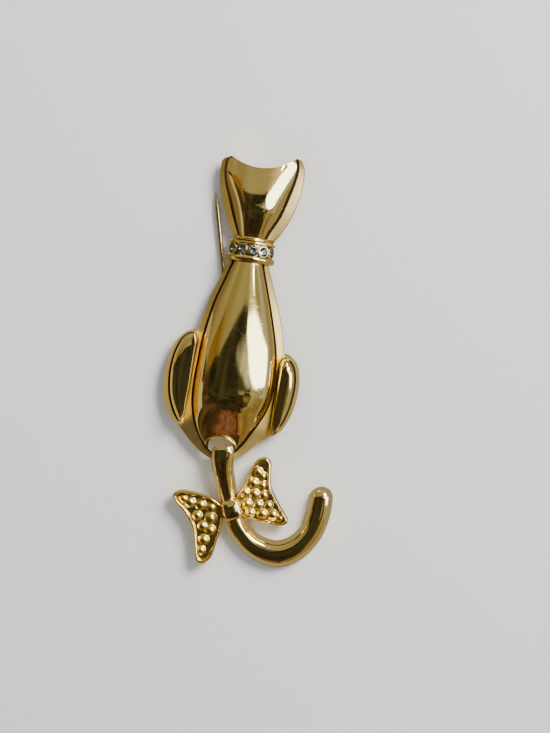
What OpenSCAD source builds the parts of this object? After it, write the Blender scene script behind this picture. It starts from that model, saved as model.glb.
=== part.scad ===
// Figural animal brooch: a cat seen from behind, cast hollow, with a stone-set collar,
// a tail that hooks through a hole in the figure, and a hinged pin behind.
// The brooch lies on its back: X to the right, Y towards the head, Z up out of the front.
// The origin is on the surface that it lies on, under the pivot of the pin.

/* [Body] */
// Length of the body, from its tip to the collar
body_l = 40; // [37:0.5:43]
// Width of the body between the haunches
body_w = 19.2; // [18:0.2:20.4]
// Height of the body dome above its edge band
body_dome = 5; // [4:0.1:6]
// Width of the figure over both haunches
figure_w = 26.2; // [25:0.2:28]
// Length of a haunch
haunch_l = 19.5; // [18:0.5:21]
// Height of a haunch dome above its edge band
haunch_dome = 1.7; // [1.2:0.1:2.4]
// Wall of the hollow casting
wall = 1.2; // [0.9:0.1:1.5]

/* [Head] */
// Length of the head, from inside the collar to the taller ear
head_l = 17.7; // [16:0.1:19.5]
// Width of the head over the ears
head_w = 16.3; // [15:0.1:18]
// Height of the head dome above its edge band
head_dome = 3; // [2.4:0.1:3.6]
// Radius of the hollow curve between the ears
ear_curve_r = 9.8; // [9:0.1:11]

/* [Edge band] */
// Thickness of the figure's outer edge
edge_t = 0.6; // [0.5:0.05:0.8]
// Rise of the sloping edge band
band_rise = 1.1; // [0.9:0.05:1.3]
// Width of the crease between the band and a dome
crease_w = 0.3; // [0.2:0.02:0.4]
// Depth of the crease
crease_d = 0.25; // [0.15:0.01:0.35]

/* [Collar and stones] */
// Radius of the collar over its lower rim
collar_r = 4.8; // [4.5:0.05:5.1]
// Length of the collar along the body
collar_h = 4; // [3.8:0.1:4.4]
// Number of stones in the collar
stones = 5; // [3:2:5]
// Diameter of a stone
stone_d = 1.85; // [1.75:0.05:2]
// Angle from one stone to the next
stone_step = 28.4; // [28:0.2:32]
// Turn of the row of stones about the neck
stone_turn = 5; // [0:0.5:6]

/* [Tail hole] */
// Width of the hole for the tail
hole_w = 4.8; // [4.6:0.1:5]
// Height of the hole
hole_h = 3.2; // [3.1:0.05:3.3]
// Radius of the rounded lip round the hole
lip_r = 0.36; // [0.3:0.02:0.5]

/* [Tail] */
// Reach of the tail to the right of its hook
tail_reach = 22.5; // [20:0.5:25]
// Drop of the tail below its hook
tail_drop = 19.5; // [18:0.5:21]
// Width of the tail at its lowest bend
tail_w = 5; // [4.6:0.1:5.4]
// Thickness of the tail at the bend
tail_t = 3.6; // [3:0.1:4.2]
// Width of the hook's tongue
tongue_w = 1.8; // [1.4:0.1:2]
// Thickness of the hook's tongue
tongue_t = 0.84; // [0.7:0.02:0.9]

/* [Bow] */
// Size that the bow's wings are drawn to
bow_w = 24; // [22:0.5:26]
// Thickness of a wing at its rim
wing_t = 2; // [1.6:0.1:2.4]
// Width of a wing's raised rim
wing_rim_w = 0.9; // [0.7:0.05:1]
// Depth of the field inside the rim
wing_field_d = 0.75; // [0.5:0.05:0.9]
// Diameter of the hammered bumps
bump_d = 1.7; // [1.2:0.1:1.8]

/* [Pin] */
// Diameter of the pin's wire
stem_d = 0.86; // [0.7:0.02:0.9]
// Length of the pin from its pivot to its point
stem_l = 35.2; // [33:0.1:38]
// Angle that the pin lies open, to the left of closed
pin_open = 13.9; // [0:0.1:30]
// Diameter of the rivet
rivet_d = 1.1; // [0.9:0.05:1.3]
// Thickness of the bar
bar_t = 0.7; // [0.6:0.05:0.8]
// Width of the bar
bar_w = 3.4; // [3:0.1:3.8]

/* [Hidden] */

gold = [0.83, 0.66, 0.32];
eps = 0.01;
fit_gap = 0.05;
run_gap = 0.1;
// How far a cutter runs past what it cuts, and its height through the whole figure
past = 2;
cut_h = past + 2 * (edge_t + band_rise + body_dome + collar_r);

// Levels of the pin's parts, from the surface up to the figure's rim
leaf_t = 0.6;
eye_t = 0.8;
eye_r = 1.5;
eye_z = leaf_t + run_gap;
stem_z = eye_z + eye_t / 2;
bar_z = eye_z + eye_t + run_gap;
rim_z = bar_z + bar_t + fit_gap;

// Places along the figure, from its widest line
pivot_y = 2.6;
neck_y = body_l * 0.656;
head_y = neck_y + collar_h * 0.29;
hole_at = [-body_w * 0.016, -body_l * 0.29];
hook_at = [body_w * 0.01, -body_l * 0.349];
crease_z = edge_t + band_rise;

// Body: outer edge x, y, crease x, y as shares of half the width and the length,
// then the crease's height as a share of the band's rise; from the tip up the right side
BODY = [
    [0.000, -0.372, 0.000, -0.342, 0.1],
    [0.333, -0.345, 0.240, -0.320, 0.2],
    [0.542, -0.300, 0.385, -0.280, 0.4],
    [0.740, -0.250, 0.516, -0.225, 0.8],
    [0.927, -0.202, 0.646, -0.165, 1],
    [0.990, -0.100, 0.781, -0.090, 1],
    [1.000, 0.000, 0.849, 0.000, 1],
    [0.990, 0.100, 0.839, 0.100, 1],
    [0.948, 0.200, 0.781, 0.200, 1],
    [0.854, 0.300, 0.672, 0.300, 1],
    [0.719, 0.400, 0.547, 0.400, 1],
    [0.552, 0.500, 0.411, 0.500, 1],
    [0.427, 0.575, 0.307, 0.575, 1],
    [0.344, 0.625, 0.250, 0.625, 1],
    [0.000, 0.645, 0.000, 0.637, 1],
    [-0.344, 0.625, -0.260, 0.625, 1],
    [-0.422, 0.575, -0.344, 0.575, 1],
    [-0.547, 0.500, -0.438, 0.500, 1],
    [-0.682, 0.400, -0.563, 0.400, 1],
    [-0.776, 0.300, -0.646, 0.300, 1],
    [-0.844, 0.200, -0.703, 0.200, 1],
    [-0.917, 0.100, -0.729, 0.100, 1],
    [-0.969, 0.000, -0.745, 0.000, 1],
    [-0.990, -0.100, -0.729, -0.090, 1],
    [-0.979, -0.205, -0.667, -0.165, 1],
    [-0.839, -0.250, -0.573, -0.225, 0.8],
    [-0.625, -0.300, -0.438, -0.280, 0.4],
    [-0.333, -0.350, -0.260, -0.320, 0.2],
];
// Haunches: the same columns, as shares of half the figure's width and a haunch's length
LEFT_HAUNCH = [
    [-0.645, -0.470, -0.672, -0.426, 0.8],
    [-0.573, -0.400, -0.622, -0.359, 0.35],
    [-0.560, -0.231, -0.612, -0.231, 0.35],
    [-0.553, -0.051, -0.601, -0.051, 0.3],
    [-0.545, 0.128, -0.597, 0.128, 0.3],
    [-0.538, 0.282, -0.596, 0.282, 0.35],
    [-0.535, 0.416, -0.592, 0.400, 0.5],
    [-0.603, 0.503, -0.649, 0.467, 1],
    [-0.771, 0.464, -0.771, 0.426, 1],
    [-0.893, 0.364, -0.847, 0.338, 1],
    [-0.962, 0.226, -0.901, 0.210, 1],
    [-1.004, 0.031, -0.920, 0.031, 1],
    [-0.973, -0.174, -0.882, -0.164, 1],
    [-0.863, -0.359, -0.786, -0.328, 1],
];
RIGHT_HAUNCH = [
    [0.641, -0.456, 0.683, -0.431, 0.8],
    [0.817, -0.379, 0.771, -0.374, 1],
    [0.916, -0.251, 0.855, -0.241, 1],
    [0.973, -0.103, 0.905, -0.103, 1],
    [0.992, 0.072, 0.927, 0.072, 1],
    [0.962, 0.231, 0.901, 0.215, 1],
    [0.885, 0.328, 0.832, 0.303, 1],
    [0.733, 0.390, 0.733, 0.344, 1],
    [0.611, 0.318, 0.660, 0.292, 0.35],
    [0.600, 0.179, 0.651, 0.179, 0.4],
    [0.598, 0.026, 0.648, 0.026, 0.4],
    [0.598, -0.128, 0.646, -0.128, 0.4],
    [0.600, -0.267, 0.646, -0.267, 0.4],
    [0.604, -0.385, 0.650, -0.372, 0.35],
];
// Head: y as a share of its length, then left edge, left crease, right crease and
// right edge as shares of half its width
HEAD = [
    [0.000, -0.417, -0.282, 0.282, 0.454],
    [0.068, -0.460, -0.325, 0.313, 0.521],
    [0.147, -0.571, -0.399, 0.368, 0.632],
    [0.260, -0.693, -0.509, 0.491, 0.755],
    [0.373, -0.791, -0.607, 0.595, 0.853],
    [0.486, -0.883, -0.699, 0.663, 0.920],
    [0.599, -0.951, -0.798, 0.730, 0.969],
    [0.712, -0.994, -0.865, 0.785, 0.994],
    [0.797, -1.000, -0.883, 0.816, 1.000],
    [0.859, -0.988, -0.877, 0.828, 0.994],
    [0.893, -0.951, -0.859, 0.828, 0.982],
    [0.915, -0.859, -0.810, 0.822, 0.969],
    [0.932, -0.761, -0.736, 0.816, 0.951],
    [0.966, -0.613, -0.601, 0.798, 0.914],
    [0.989, -0.491, -0.479, 0.773, 0.871],
    [1.000, -0.429, -0.417, 0.736, 0.785],
];
// Tail: x, y from the hook as shares of reach and drop, the width as a share of tail_w,
// and the underside and the top as shares of its thickness
TAIL = [
    [0.001, 0.110, 0.80, 1.43, 1.67],
    [0.007, 0.054, 0.86, 1.33, 1.69],
    [0.013, -0.033, 0.86, 1.19, 1.67],
    [0.031, -0.126, 0.82, 0.94, 1.58],
    [0.057, -0.220, 0.79, 0.56, 1.44],
    [0.101, -0.363, 0.74, 0.19, 1.28],
    [0.153, -0.498, 0.76, 0.03, 1.17],
    [0.220, -0.658, 0.86, 0, 1.08],
    [0.352, -0.806, 0.91, 0, 1.03],
    [0.507, -0.871, 1.01, 0, 1],
    [0.629, -0.865, 1.04, 0, 1],
    [0.756, -0.777, 0.98, 0, 1],
    [0.853, -0.618, 0.92, 0, 1],
    [0.891, -0.428, 0.95, 0, 1],
    [0.898, -0.264, 0.92, 0, 0.97],
    [0.884, -0.150, 0.88, 0, 0.94],
];
// Wings of the bow: outline from the knot as shares of the bow's size, with the two
// tips at the start and halfway
LEFT_WING = [
    [-0.165, -0.464], [-0.107, -0.403], [-0.084, -0.289], [-0.064, -0.180], [-0.060, -0.080], [-0.060, 0.003],
    [-0.160, 0.069], [-0.302, 0.096], [-0.427, 0.097], [-0.490, 0.053], [-0.456, -0.010], [-0.390, -0.072],
    [-0.335, -0.135], [-0.296, -0.205], [-0.271, -0.289], [-0.254, -0.364], [-0.242, -0.422], [-0.215, -0.460],
];
RIGHT_WING = [
    [0.398, -0.074], [0.450, -0.050], [0.456, -0.010], [0.397, 0.067], [0.338, 0.147], [0.288, 0.230],
    [0.271, 0.326], [0.261, 0.409], [0.231, 0.448], [0.186, 0.452], [0.139, 0.420], [0.101, 0.336],
    [0.081, 0.240], [0.040, 0.149], [-0.002, 0.053], [0.031, -0.026], [0.138, -0.049], [0.277, -0.068],
];
// Hammered bumps: centre from the knot and diameter, as shares of the bow's and the bump's size
BUMPS = [
    [-0.400, 0.030, 0.8], [-0.342, 0.010, 1], [-0.255, 0.000, 1], [-0.165, -0.010, 1], [-0.270, -0.090, 0.9],
    [-0.160, -0.095, 1.15], [-0.215, -0.165, 0.9], [-0.150, -0.190, 1], [-0.190, -0.275, 1], [-0.200, -0.360, 0.85],
    [0.165, 0.330, 0.85], [0.205, 0.300, 0.8], [0.140, 0.235, 1], [0.215, 0.225, 0.9], [0.085, 0.150, 0.9],
    [0.160, 0.150, 1], [0.235, 0.150, 0.9], [0.110, 0.065, 1], [0.200, 0.070, 1], [0.285, 0.075, 0.85],
    [0.150, -0.005, 0.8], [0.245, 0.000, 1], [0.330, 0.005, 1], [0.395, -0.015, 0.7],
];

function unit(v) = norm(v) < 1e-6 ? [0, 0] : v / norm(v);
function mix(a, b, t) = a + (b - a) * t;
function spline(a, b, c, d, t) =
    0.5 * (2 * b + (c - a) * t + (2 * a - 5 * b + 4 * c - d) * t ^ 2 + (3 * b - a - 3 * c + d) * t ^ 3);

// A smooth closed or open run through rows, k steps a row
function closed_run(rows, k) =
    let (n = len(rows))
    [for (i = [0 : n - 1], j = [0 : k - 1])
        spline(rows[(i + n - 1) % n], rows[i], rows[(i + 1) % n], rows[(i + 2) % n], j / k)];
function open_at(rows, s) =
    let (n = len(rows), i = min(floor(s), n - 2))
    spline(rows[max(i - 1, 0)], rows[i], rows[i + 1], rows[min(i + 2, n - 1)], s - i);
function open_run(rows, k) = [for (i = [0 : (len(rows) - 1) * k]) open_at(rows, i / k)];

// Height shares along a dome: 1 at the peak, easing to a share at its low end and
// falling ever more steeply to another at its high end
function ease(t) = cos(90 * min(max(t, 0), 1)) ^ 2;
function crest(y, peak, low, low_share, high, high_share) =
    y < peak
    ? low_share + (1 - low_share) * ease((peak - y) / (peak - low))
    : 1 - (1 - high_share) * ((y - peak) / (high - peak)) ^ 1.7;

// A y that follows a point but stays between two ends, with a soft turn at each
function between(y, low, high, soft) =
    (sqrt((y - low) ^ 2 + soft ^ 2) - sqrt((y - high) ^ 2 + soft ^ 2) + low + high) / 2;

// A closed solid from rings of equal count. A ladder cap joins each point to its mirror
// along the ring, and a fan cap joins all to the ring's first point.
module skin(rings, ladder = true) {
    n = len(rings[0]);
    m = len(rings);
    side = [for (k = [0 : m - 2], i = [0 : n - 1]) let (j = (i + 1) % n)
        each [[k * n + i, (k + 1) * n + i, (k + 1) * n + j], [k * n + i, (k + 1) * n + j, k * n + j]]];
    rungs = [for (i = [0 : n / 2 - 1]) let (a = i, b = i + 1, c = n - i - 1, d = (n - i) % n)
        each [if (d != a) [a, d, c], if (b != c) [a, c, b]]];
    fan = [for (i = [1 : n - 2]) [0, i + 1, i]];
    cap = ladder ? rungs : fan;
    top = [for (f = cap) [f[0], f[1], f[2]] + (m - 1) * n * [1, 1, 1]];
    base = [for (f = cap) [f[0], f[2], f[1]]];
    polyhedron(points = [for (r = rings) each r], faces = concat(side, top, base));
}

// One casting: its pieces are joined and cut together
module cast() {
    resize([0, 0, 0]) children();
}

// Steps of a dome's arch from its foot to its ridge. A fullness of 2 is a quarter ellipse,
// and a higher one gives a flatter top with steeper sides.
dome_steps = 7;
dome_top = 86;
dome_angles = [for (j = [1 : dome_steps]) dome_top * j / dome_steps];

// A pad: a sloping band inside an outer edge, a crease, and a dome over a ridge line.
// Rows are real lengths, ridge gives the ridge's point and height for a point's y.
module pad(rows, k, ridge, fullness = 2) {
    arch = 2 / fullness;
    run = closed_run(rows, k);
    outer = [for (r = run) [r[0], r[1]]];
    foot = [for (r = run) [r[2], r[3]]];
    foot_z = [for (r = run) edge_t + band_rise * r[4]];
    top = [for (f = foot) ridge(f.y)];
    out = [for (i = [0 : len(run) - 1]) unit(outer[i] - foot[i]) * crease_w / 2];
    all = [0 : len(run) - 1];
    skin([
        [for (i = all) [outer[i].x, outer[i].y, 0]],
        [for (i = all) [outer[i].x, outer[i].y, edge_t]],
        [for (i = all) let (p = foot[i] + out[i]) [p.x, p.y, foot_z[i]]],
        [for (i = all) [foot[i].x, foot[i].y, foot_z[i] - crease_d]],
        [for (i = all) let (p = foot[i] - out[i]) [p.x, p.y, foot_z[i] + eps]],
        for (a = dome_angles) [for (i = all)
            let (t = top[i], p = mix(foot[i] - out[i], [t.x, t.y], 1 - cos(a) ^ arch))
            [p.x, p.y, mix(foot_z[i] + eps, t.z, sin(a) ^ arch)]],
    ]);
}

// The hollow under a pad's dome
module pad_hollow(rows, k, ridge) {
    run = closed_run(rows, k);
    top = [for (r = run) ridge(r[3])];
    foot = [for (i = [0 : len(run) - 1]) let (f = [run[i][2], run[i][3]], t = [top[i].x, top[i].y])
        f + unit(t - f) * wall * 0.8];
    foot_z = [for (r = run) max(edge_t + band_rise * r[4] - wall * 0.75, wall / 6)];
    all = [0 : len(run) - 1];
    skin([
        [for (i = all) [foot[i].x, foot[i].y, -past]],
        for (a = concat([0], dome_angles)) [for (i = all)
            let (t = top[i], p = mix(foot[i], [t.x, t.y], 1 - cos(a)))
            [p.x, p.y, max(mix(foot_z[i], t.z - wall, sin(a)), foot_z[i])]],
    ]);
}

body_rows = [for (r = BODY) [r[0] * body_w / 2, r[1] * body_l, r[2] * body_w / 2, r[3] * body_l, r[4]]];
body_ridge = function (y)
    let (s = between(y, -0.28 * body_l, 0.62 * body_l, 0.03 * body_l),
        share = crest(s, -0.03 * body_l, -0.335 * body_l, 0.1, 0.64 * body_l, 0.5))
    [body_w * 0.005, s, edge_t + (band_rise + body_dome) * share];

haunch_fullness = 2.5;
function haunch_rows(table) =
    [for (r = table) [r[0] * figure_w / 2, r[1] * haunch_l, r[2] * figure_w / 2, r[3] * haunch_l, r[4]]];
function haunch_ridge(x, mid) = function (y)
    let (s = between(y, (mid - 0.27) * haunch_l, (mid + 0.22) * haunch_l, 0.05 * haunch_l))
    [x * figure_w / 2, s, crease_z + haunch_dome];

// The head: rows across it, each with band, crease and an arched dome
head_cut = [-0.049 * head_w, head_y + head_l * 0.834 + ear_curve_r];
head_steps = 10;
ear_fn = 100;
function head_arch(u) = 1 - abs(u) ^ 3;
function head_height(y) = head_dome * crest((y - head_y) / head_l, 0.4, 0, 0.4, 1, 0.45);

module head_dome_shape() {
    skin([for (r = open_run(HEAD, 2)) let (
            y = head_y + r[0] * head_l,
            e = [r[1], r[4]] * head_w / 2,
            c = [r[2], r[3]] * head_w / 2,
            h = head_height(y))
        [
            [e[0], y, 0],
            [e[0], y, edge_t],
            [c[0] - min(crease_w / 2, (c[0] - e[0]) / 3), y, crease_z],
            [c[0], y, crease_z - crease_d],
            for (i = [0 : head_steps]) let (u = 2 * i / head_steps - 1)
                [mix(c[0], c[1], (u * 0.96 + 1) / 2), y, crease_z + h * head_arch(u)],
            [c[1], y, crease_z - crease_d],
            [c[1] + min(crease_w / 2, (e[1] - c[1]) / 3), y, crease_z],
            [e[1], y, edge_t],
            [e[1], y, 0],
        ]], false);
}

module head_hollow() {
    inset = wall * 0.8;
    difference() {
        skin([for (r = open_run([for (i = [2 : len(HEAD) - 1]) HEAD[i]], 2)) let (
                y = head_y + r[0] * head_l,
                c = [min(r[2] * head_w / 2 + inset, -wall / 3), max(r[3] * head_w / 2 - inset, wall / 3)],
                h = head_height(y))
            [
                [c[0], y, -past],
                for (i = [0 : head_steps]) let (u = 2 * i / head_steps - 1)
                    [mix(c[0], c[1], (u + 1) / 2), y, crease_z - wall * 0.8 + (h - wall * 0.2) * head_arch(u)],
                [c[1], y, -past],
            ]], false);
        translate([head_cut.x, head_cut.y, -2 * past])
            cylinder(r = ear_curve_r + wall, h = cut_h, $fn = ear_fn);
    }
}

// The collar and the neck ring, turned about the neck's axis and flat behind
module collar() {
    floor_r = collar_r * 0.855;
    low_rim = collar_h * 0.165;
    high_rim = collar_h * 0.06;
    neck_r = collar_r * 0.68;
    neck_ring = collar_h * 0.12;
    facets = 56;
    difference() {
        translate([0, neck_y, 0])
        rotate([-90, 180 / facets, 0])
        rotate_extrude($fn = facets) {
            translate([0, -collar_h * 0.54])
                square([floor_r, collar_h * 0.97]);
            translate([collar_r - low_rim, -collar_h * 0.41])
                circle(low_rim, $fn = 14);
            translate([collar_r * 0.95 - high_rim, collar_h * 0.35])
                circle(high_rim, $fn = 10);
            square([neck_r - neck_ring * 1.3, collar_h * 0.62]);
            translate([neck_r - neck_ring, collar_h * 0.55])
                circle(neck_ring, $fn = 12);
        }
        translate([-2 * collar_r, neck_y - 2 * collar_h, -2 * collar_r])
            cube([4 * collar_r, 4 * collar_h, 2 * collar_r]);
    }
}

stone_r = stone_d / 2;
stone_seat_r = collar_r * 0.9;
crown_h = stone_d * 0.16;
pavilion_h = stone_d * 0.43;
function stone_angle(i) = stone_turn + (i - (stones + 1) / 2) * stone_step;
module at_stone(i) {
    translate([0, neck_y, 0]) rotate([0, stone_angle(i), 0]) translate([0, 0, stone_seat_r])
        children();
}
module collet() {
    depth = collar_r * 0.15;
    translate([0, 0, -depth])
        cylinder(r = stone_r * 1.238, h = depth + stone_d * 0.11, $fn = 24);
}
module stone_seat() {
    r = stone_r + fit_gap;
    low = -pavilion_h - 2 * fit_gap;
    rotate_extrude($fn = 24)
        polygon([[0, low], [fit_gap, low], [r, -fit_gap], [r, collar_r], [0, collar_r]]);
}

// The hole for the tail and its rounded lip, which tilts with the body's slope
module hole() {
    corner = hole_w * 0.11;
    translate([hole_at.x, hole_at.y, -past])
    linear_extrude(height = cut_h)
    hull() {
        scale([hole_w / hole_h, 1]) circle(d = hole_h, $fn = 48);
        for (s = [-1, 1])
            translate([s * hole_w * 0.3, corner - hole_h / 2]) circle(corner, $fn = 20);
    }
}
module hole_lip() {
    a = hole_w / 2 + lip_r * 0.5;
    b = hole_h / 2 + lip_r * 0.3;
    low = edge_t + lip_r * 0.6;
    tilt = 27;
    translate([hole_at.x, hole_at.y - b, low])
    rotate([tilt, 0, 0])
    translate([0, b, 0])
    scale([a / b, 1, 1])
    rotate_extrude($fn = 40)
    translate([b, 0]) circle(lip_r, $fn = 10);
}

module bar_seat() {
    translate([0, pivot_y + bar_seat_y, 0])
        cylinder(r = bar_w * 0.44, h = edge_t + body_dome, $fn = 32);
}

module figure() {
    color(gold)
    translate([0, -pivot_y, rim_z])
    cast()
    difference() {
        union() {
            pad(body_rows, 2, body_ridge);
            pad(haunch_rows(LEFT_HAUNCH), 2, haunch_ridge(-0.67, 0), haunch_fullness);
            pad(haunch_rows(RIGHT_HAUNCH), 2, haunch_ridge(0.79, -0.03), haunch_fullness);
            difference() {
                head_dome_shape();
                translate([head_cut.x, head_cut.y, -past])
                    cylinder(r = ear_curve_r, h = cut_h, $fn = ear_fn);
            }
            collar();
            for (i = [1 : stones]) at_stone(i) collet();
            hole_lip();
        }
        difference() {
            union() {
                pad_hollow(body_rows, 2, body_ridge);
                pad_hollow(haunch_rows(LEFT_HAUNCH), 2, haunch_ridge(-0.67, 0));
                pad_hollow(haunch_rows(RIGHT_HAUNCH), 2, haunch_ridge(0.79, -0.03));
                head_hollow();
            }
            translate([-collar_r, neck_y - collar_h * 0.5, -2 * past])
                cube([2 * collar_r, collar_h * 1.24, cut_h]);
            bar_seat();
        }
        hole();
        for (i = [1 : stones]) at_stone(i) stone_seat();
    }
}

// A round cut stone: table, crown, girdle and pavilion, each with eight sides
module stone(i) {
    sides = 8;
    levels = [[0.05, -pavilion_h], [1, -stone_d * 0.02], [1, stone_d * 0.02], [0.8, crown_h * 0.7], [0.56, crown_h]];
    color([0.86, 0.9, 0.9])
    translate([0, -pivot_y, rim_z])
    at_stone(i)
    skin([for (l = levels) [for (a = [0 : sides - 1]) let (t = 360 * a / sides + (l[0] == 0.8 ? 180 / sides : 0))
        [stone_r * l[0] * cos(t), stone_r * l[0] * sin(t), l[1]]]]);
}

// The finding: a bar with a hinge leaf folded under its lower end and a catch at its top
bar_low = -2.45;
bar_seat_y = 6;
catch_y = stem_l - 3.8;
catch_l = 2.5;
fold_t = 0.6;
module pin_bar() {
    catch_gap = 0.35;
    color(gold)
    difference() {
        union() {
            translate([-bar_w / 2, bar_low, bar_z])
                cube([bar_w, catch_y + catch_l - bar_low, bar_t]);
            translate([-bar_w / 2, bar_low, 0])
                cube([bar_w, fold_t, bar_z + eps]);
            translate([-bar_w / 2, bar_low, 0])
                cube([bar_w, eye_r + 2 * run_gap - bar_low, leaf_t]);
            translate([stem_d / 2 + catch_gap, catch_y, 0])
                cube([fold_t, catch_l, bar_z + eps]);
            translate([-stem_d * 1.2, catch_y, 0])
                cube([stem_d * 1.7 + catch_gap + fold_t, catch_l, leaf_t]);
        }
        translate([0, 0, -past])
            cylinder(d = rivet_d + 2 * fit_gap, h = rim_z + 2 * past, $fn = 48);
    }
}

module pin_rivet() {
    foot = 0.1;
    head_t = 0.3;
    color(gold) {
        translate([0, 0, foot])
            cylinder(d = rivet_d, h = rim_z - foot + head_t / 2, $fn = 48);
        translate([0, 0, rim_z - fit_gap + 2 * eps])
            cylinder(d = rivet_d * 1.8, h = head_t, $fn = 48);
    }
}

module pin_stem() {
    point_l = 3;
    root = eye_r * 0.6;
    color(gold)
    rotate([0, 0, pin_open])
    difference() {
        union() {
            translate([0, 0, eye_z])
                cylinder(r = eye_r, h = eye_t, $fn = 48);
            translate([0, root, stem_z]) rotate([-90, 0, 0])
                cylinder(d = stem_d, h = stem_l - point_l - root, $fn = 32);
            translate([0, stem_l - point_l, stem_z]) rotate([-90, 0, 0])
                cylinder(d1 = stem_d, d2 = stem_d * 0.2, h = point_l, $fn = 32);
        }
        translate([0, 0, eye_z - past])
            cylinder(d = rivet_d + 2 * fit_gap, h = eye_t + 2 * past, $fn = 48);
    }
}

// The tail's section: a flat back, a thin edge, a step and a dome
tail_half = [[1, 0], [1, 0.2], [0.9, 0.3], [0.86, 0.65], [0.68, 0.88], [0.4, 0.975], [0.13, 1]];
tail_section = concat(tail_half, [for (i = [len(tail_half) - 1 : -1 : 0]) [-tail_half[i][0], tail_half[i][1]]]);
knot_at = [hook_at.x + TAIL[6][0] * tail_reach, hook_at.y + TAIL[6][1] * tail_drop];

module tail_bar() {
    k = 4;
    run = [for (r = open_run(TAIL, k))
        [hook_at.x + r[0] * tail_reach, hook_at.y + r[1] * tail_drop, r[2] * tail_w,
            max(r[3], 0) * tail_t, r[4] * tail_t]];
    n = len(run);
    end_r = tail_w * 0.42;
    path = [for (i = [0 : n - 1]) [run[i][0], run[i][1]]];
    to_end = [for (i = [0 : n - 1]) norm(path[n - 1] - path[i])];
    to_start = [for (i = [0 : n - 1]) norm(path[0] - path[i])];
    start_r = tail_w * 0.2;
    skin([for (i = [0 : n - 1]) let (
            d = unit(path[min(i + 1, n - 1)] - path[max(i - 1, 0)]),
            side = [-d.y, d.x],
            q = min(to_end[i] / end_r, 1),
            p = min(to_start[i] / start_r, 1),
            round = max(sqrt(1 - (1 - q) ^ 2), 0.12),
            nose = i < n / 2 ? 0.7 + 0.3 * sqrt(1 - (1 - p) ^ 2) : 1,
            w = run[i][2] / 2 * (i > n / 2 ? round : nose),
            h = (run[i][4] - run[i][3]) * (i > n / 2 ? 0.45 + 0.55 * round : nose))
        [for (s = tail_section) let (xy = path[i] + side * s[0] * w)
            [xy.x, xy.y, run[i][3] + s[1] * h]]], false);
}

// The hook's tongue: over the bar below the hole, through the hole and down behind it
rest_turn = 10;
module tongue() {
    top = tail_t * 1.5;
    behind = rim_z - tongue_t * 1.13;
    r = tongue_t * 1.8;
    rows = [
        [r * 0.56, top], [r * 0.86, top - r * 0.03], [r, top - r * 0.4], [r, mix(top, behind, 0.5)],
        [r * 0.98, behind + r * 0.36], [r * 0.76, behind + r * 0.05], [r * 0.33, behind], [-r * 0.4, behind],
        [-r, behind],
    ];
    run = open_run(rows, 3);
    n = len(run);
    sides = 12;
    translate([hook_at.x, hook_at.y, 0])
    rotate([0, 0, rest_turn])
    skin([for (i = [0 : n - 1]) let (d = unit(run[min(i + 1, n - 1)] - run[max(i - 1, 0)]), out = [-d.y, d.x])
        [for (a = [0 : sides - 1]) let (t = 360 * a / sides, c = out * cos(t) * tongue_t / 2)
            [sin(t) * tongue_w / 2, run[i].x + c.x, run[i].y + c.y]]], false);
}

module wing(table, z) {
    run = [for (r = closed_run(table, 2)) knot_at + r * bow_w];
    n = len(run);
    half = n / 2;
    spine = [for (i = [0 : n - 1])
        let (j = min(max(min(i, n - i), 4), half - 4)) (run[j] + run[(n - j) % n]) / 2];
    levels = [[0, 0], [0, 0.7], [0.3, 1], [0.75, 0.95], [1, 0]];
    rings = [for (l = [0 : len(levels) - 1]) [for (i = [0 : n - 1])
        let (p = run[i] + unit(spine[i] - run[i]) * levels[l][0] * wing_rim_w,
            h = l == len(levels) - 1 ? wing_t - wing_field_d : wing_t * levels[l][1])
        [p.x, p.y, z + h]]];
    skin(rings);
}

module bow() {
    z = tail_t * 0.5;
    field = z + wing_t - wing_field_d;
    wing(LEFT_WING, z);
    wing(RIGHT_WING, z);
    for (b = BUMPS)
        translate([knot_at.x + b[0] * bow_w, knot_at.y + b[1] * bow_w, field])
            scale([1, 1, 0.75]) sphere(d = bump_d * b[2], $fn = 10);
    knot();
}

module knot() {
    size = [bow_w * 0.155, bow_w * 0.17, tail_t * 1.05];
    sections = [[1, 0], [1, 0.62], [0.94, 0.8], [0.8, 0.93], [0.55, 1]];
    corners = 24;
    translate([knot_at.x, knot_at.y, tail_t * 0.62])
    rotate([0, 0, 21])
    skin([for (s = sections) [for (a = [0 : corners - 1])
        let (t = 360 * a / corners, k = 1 / (abs(cos(t)) ^ 4 + abs(sin(t)) ^ 4) ^ 0.25)
        [size.x / 2 * s[0] * k * cos(t), size.y / 2 * s[0] * k * sin(t), size.z * s[1]]]]);
}

module tail() {
    color(gold)
    translate([0, -pivot_y, 0])
    cast()
    union() {
        tail_bar();
        tongue();
        bow();
    }
}

figure();
stone(1);  // stone_1
stone(2);  // stone_2
stone(3);  // stone_3
stone(4);  // stone_4
stone(5);  // stone_5
pin_bar();
pin_rivet();
pin_stem();
tail();
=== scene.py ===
"""Looks of the cat brooch: smooth castings, cut stones, polished metal, soft studio light."""
import math

import bmesh
import bpy
import numpy as np
from mathutils import Matrix, Vector


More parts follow.
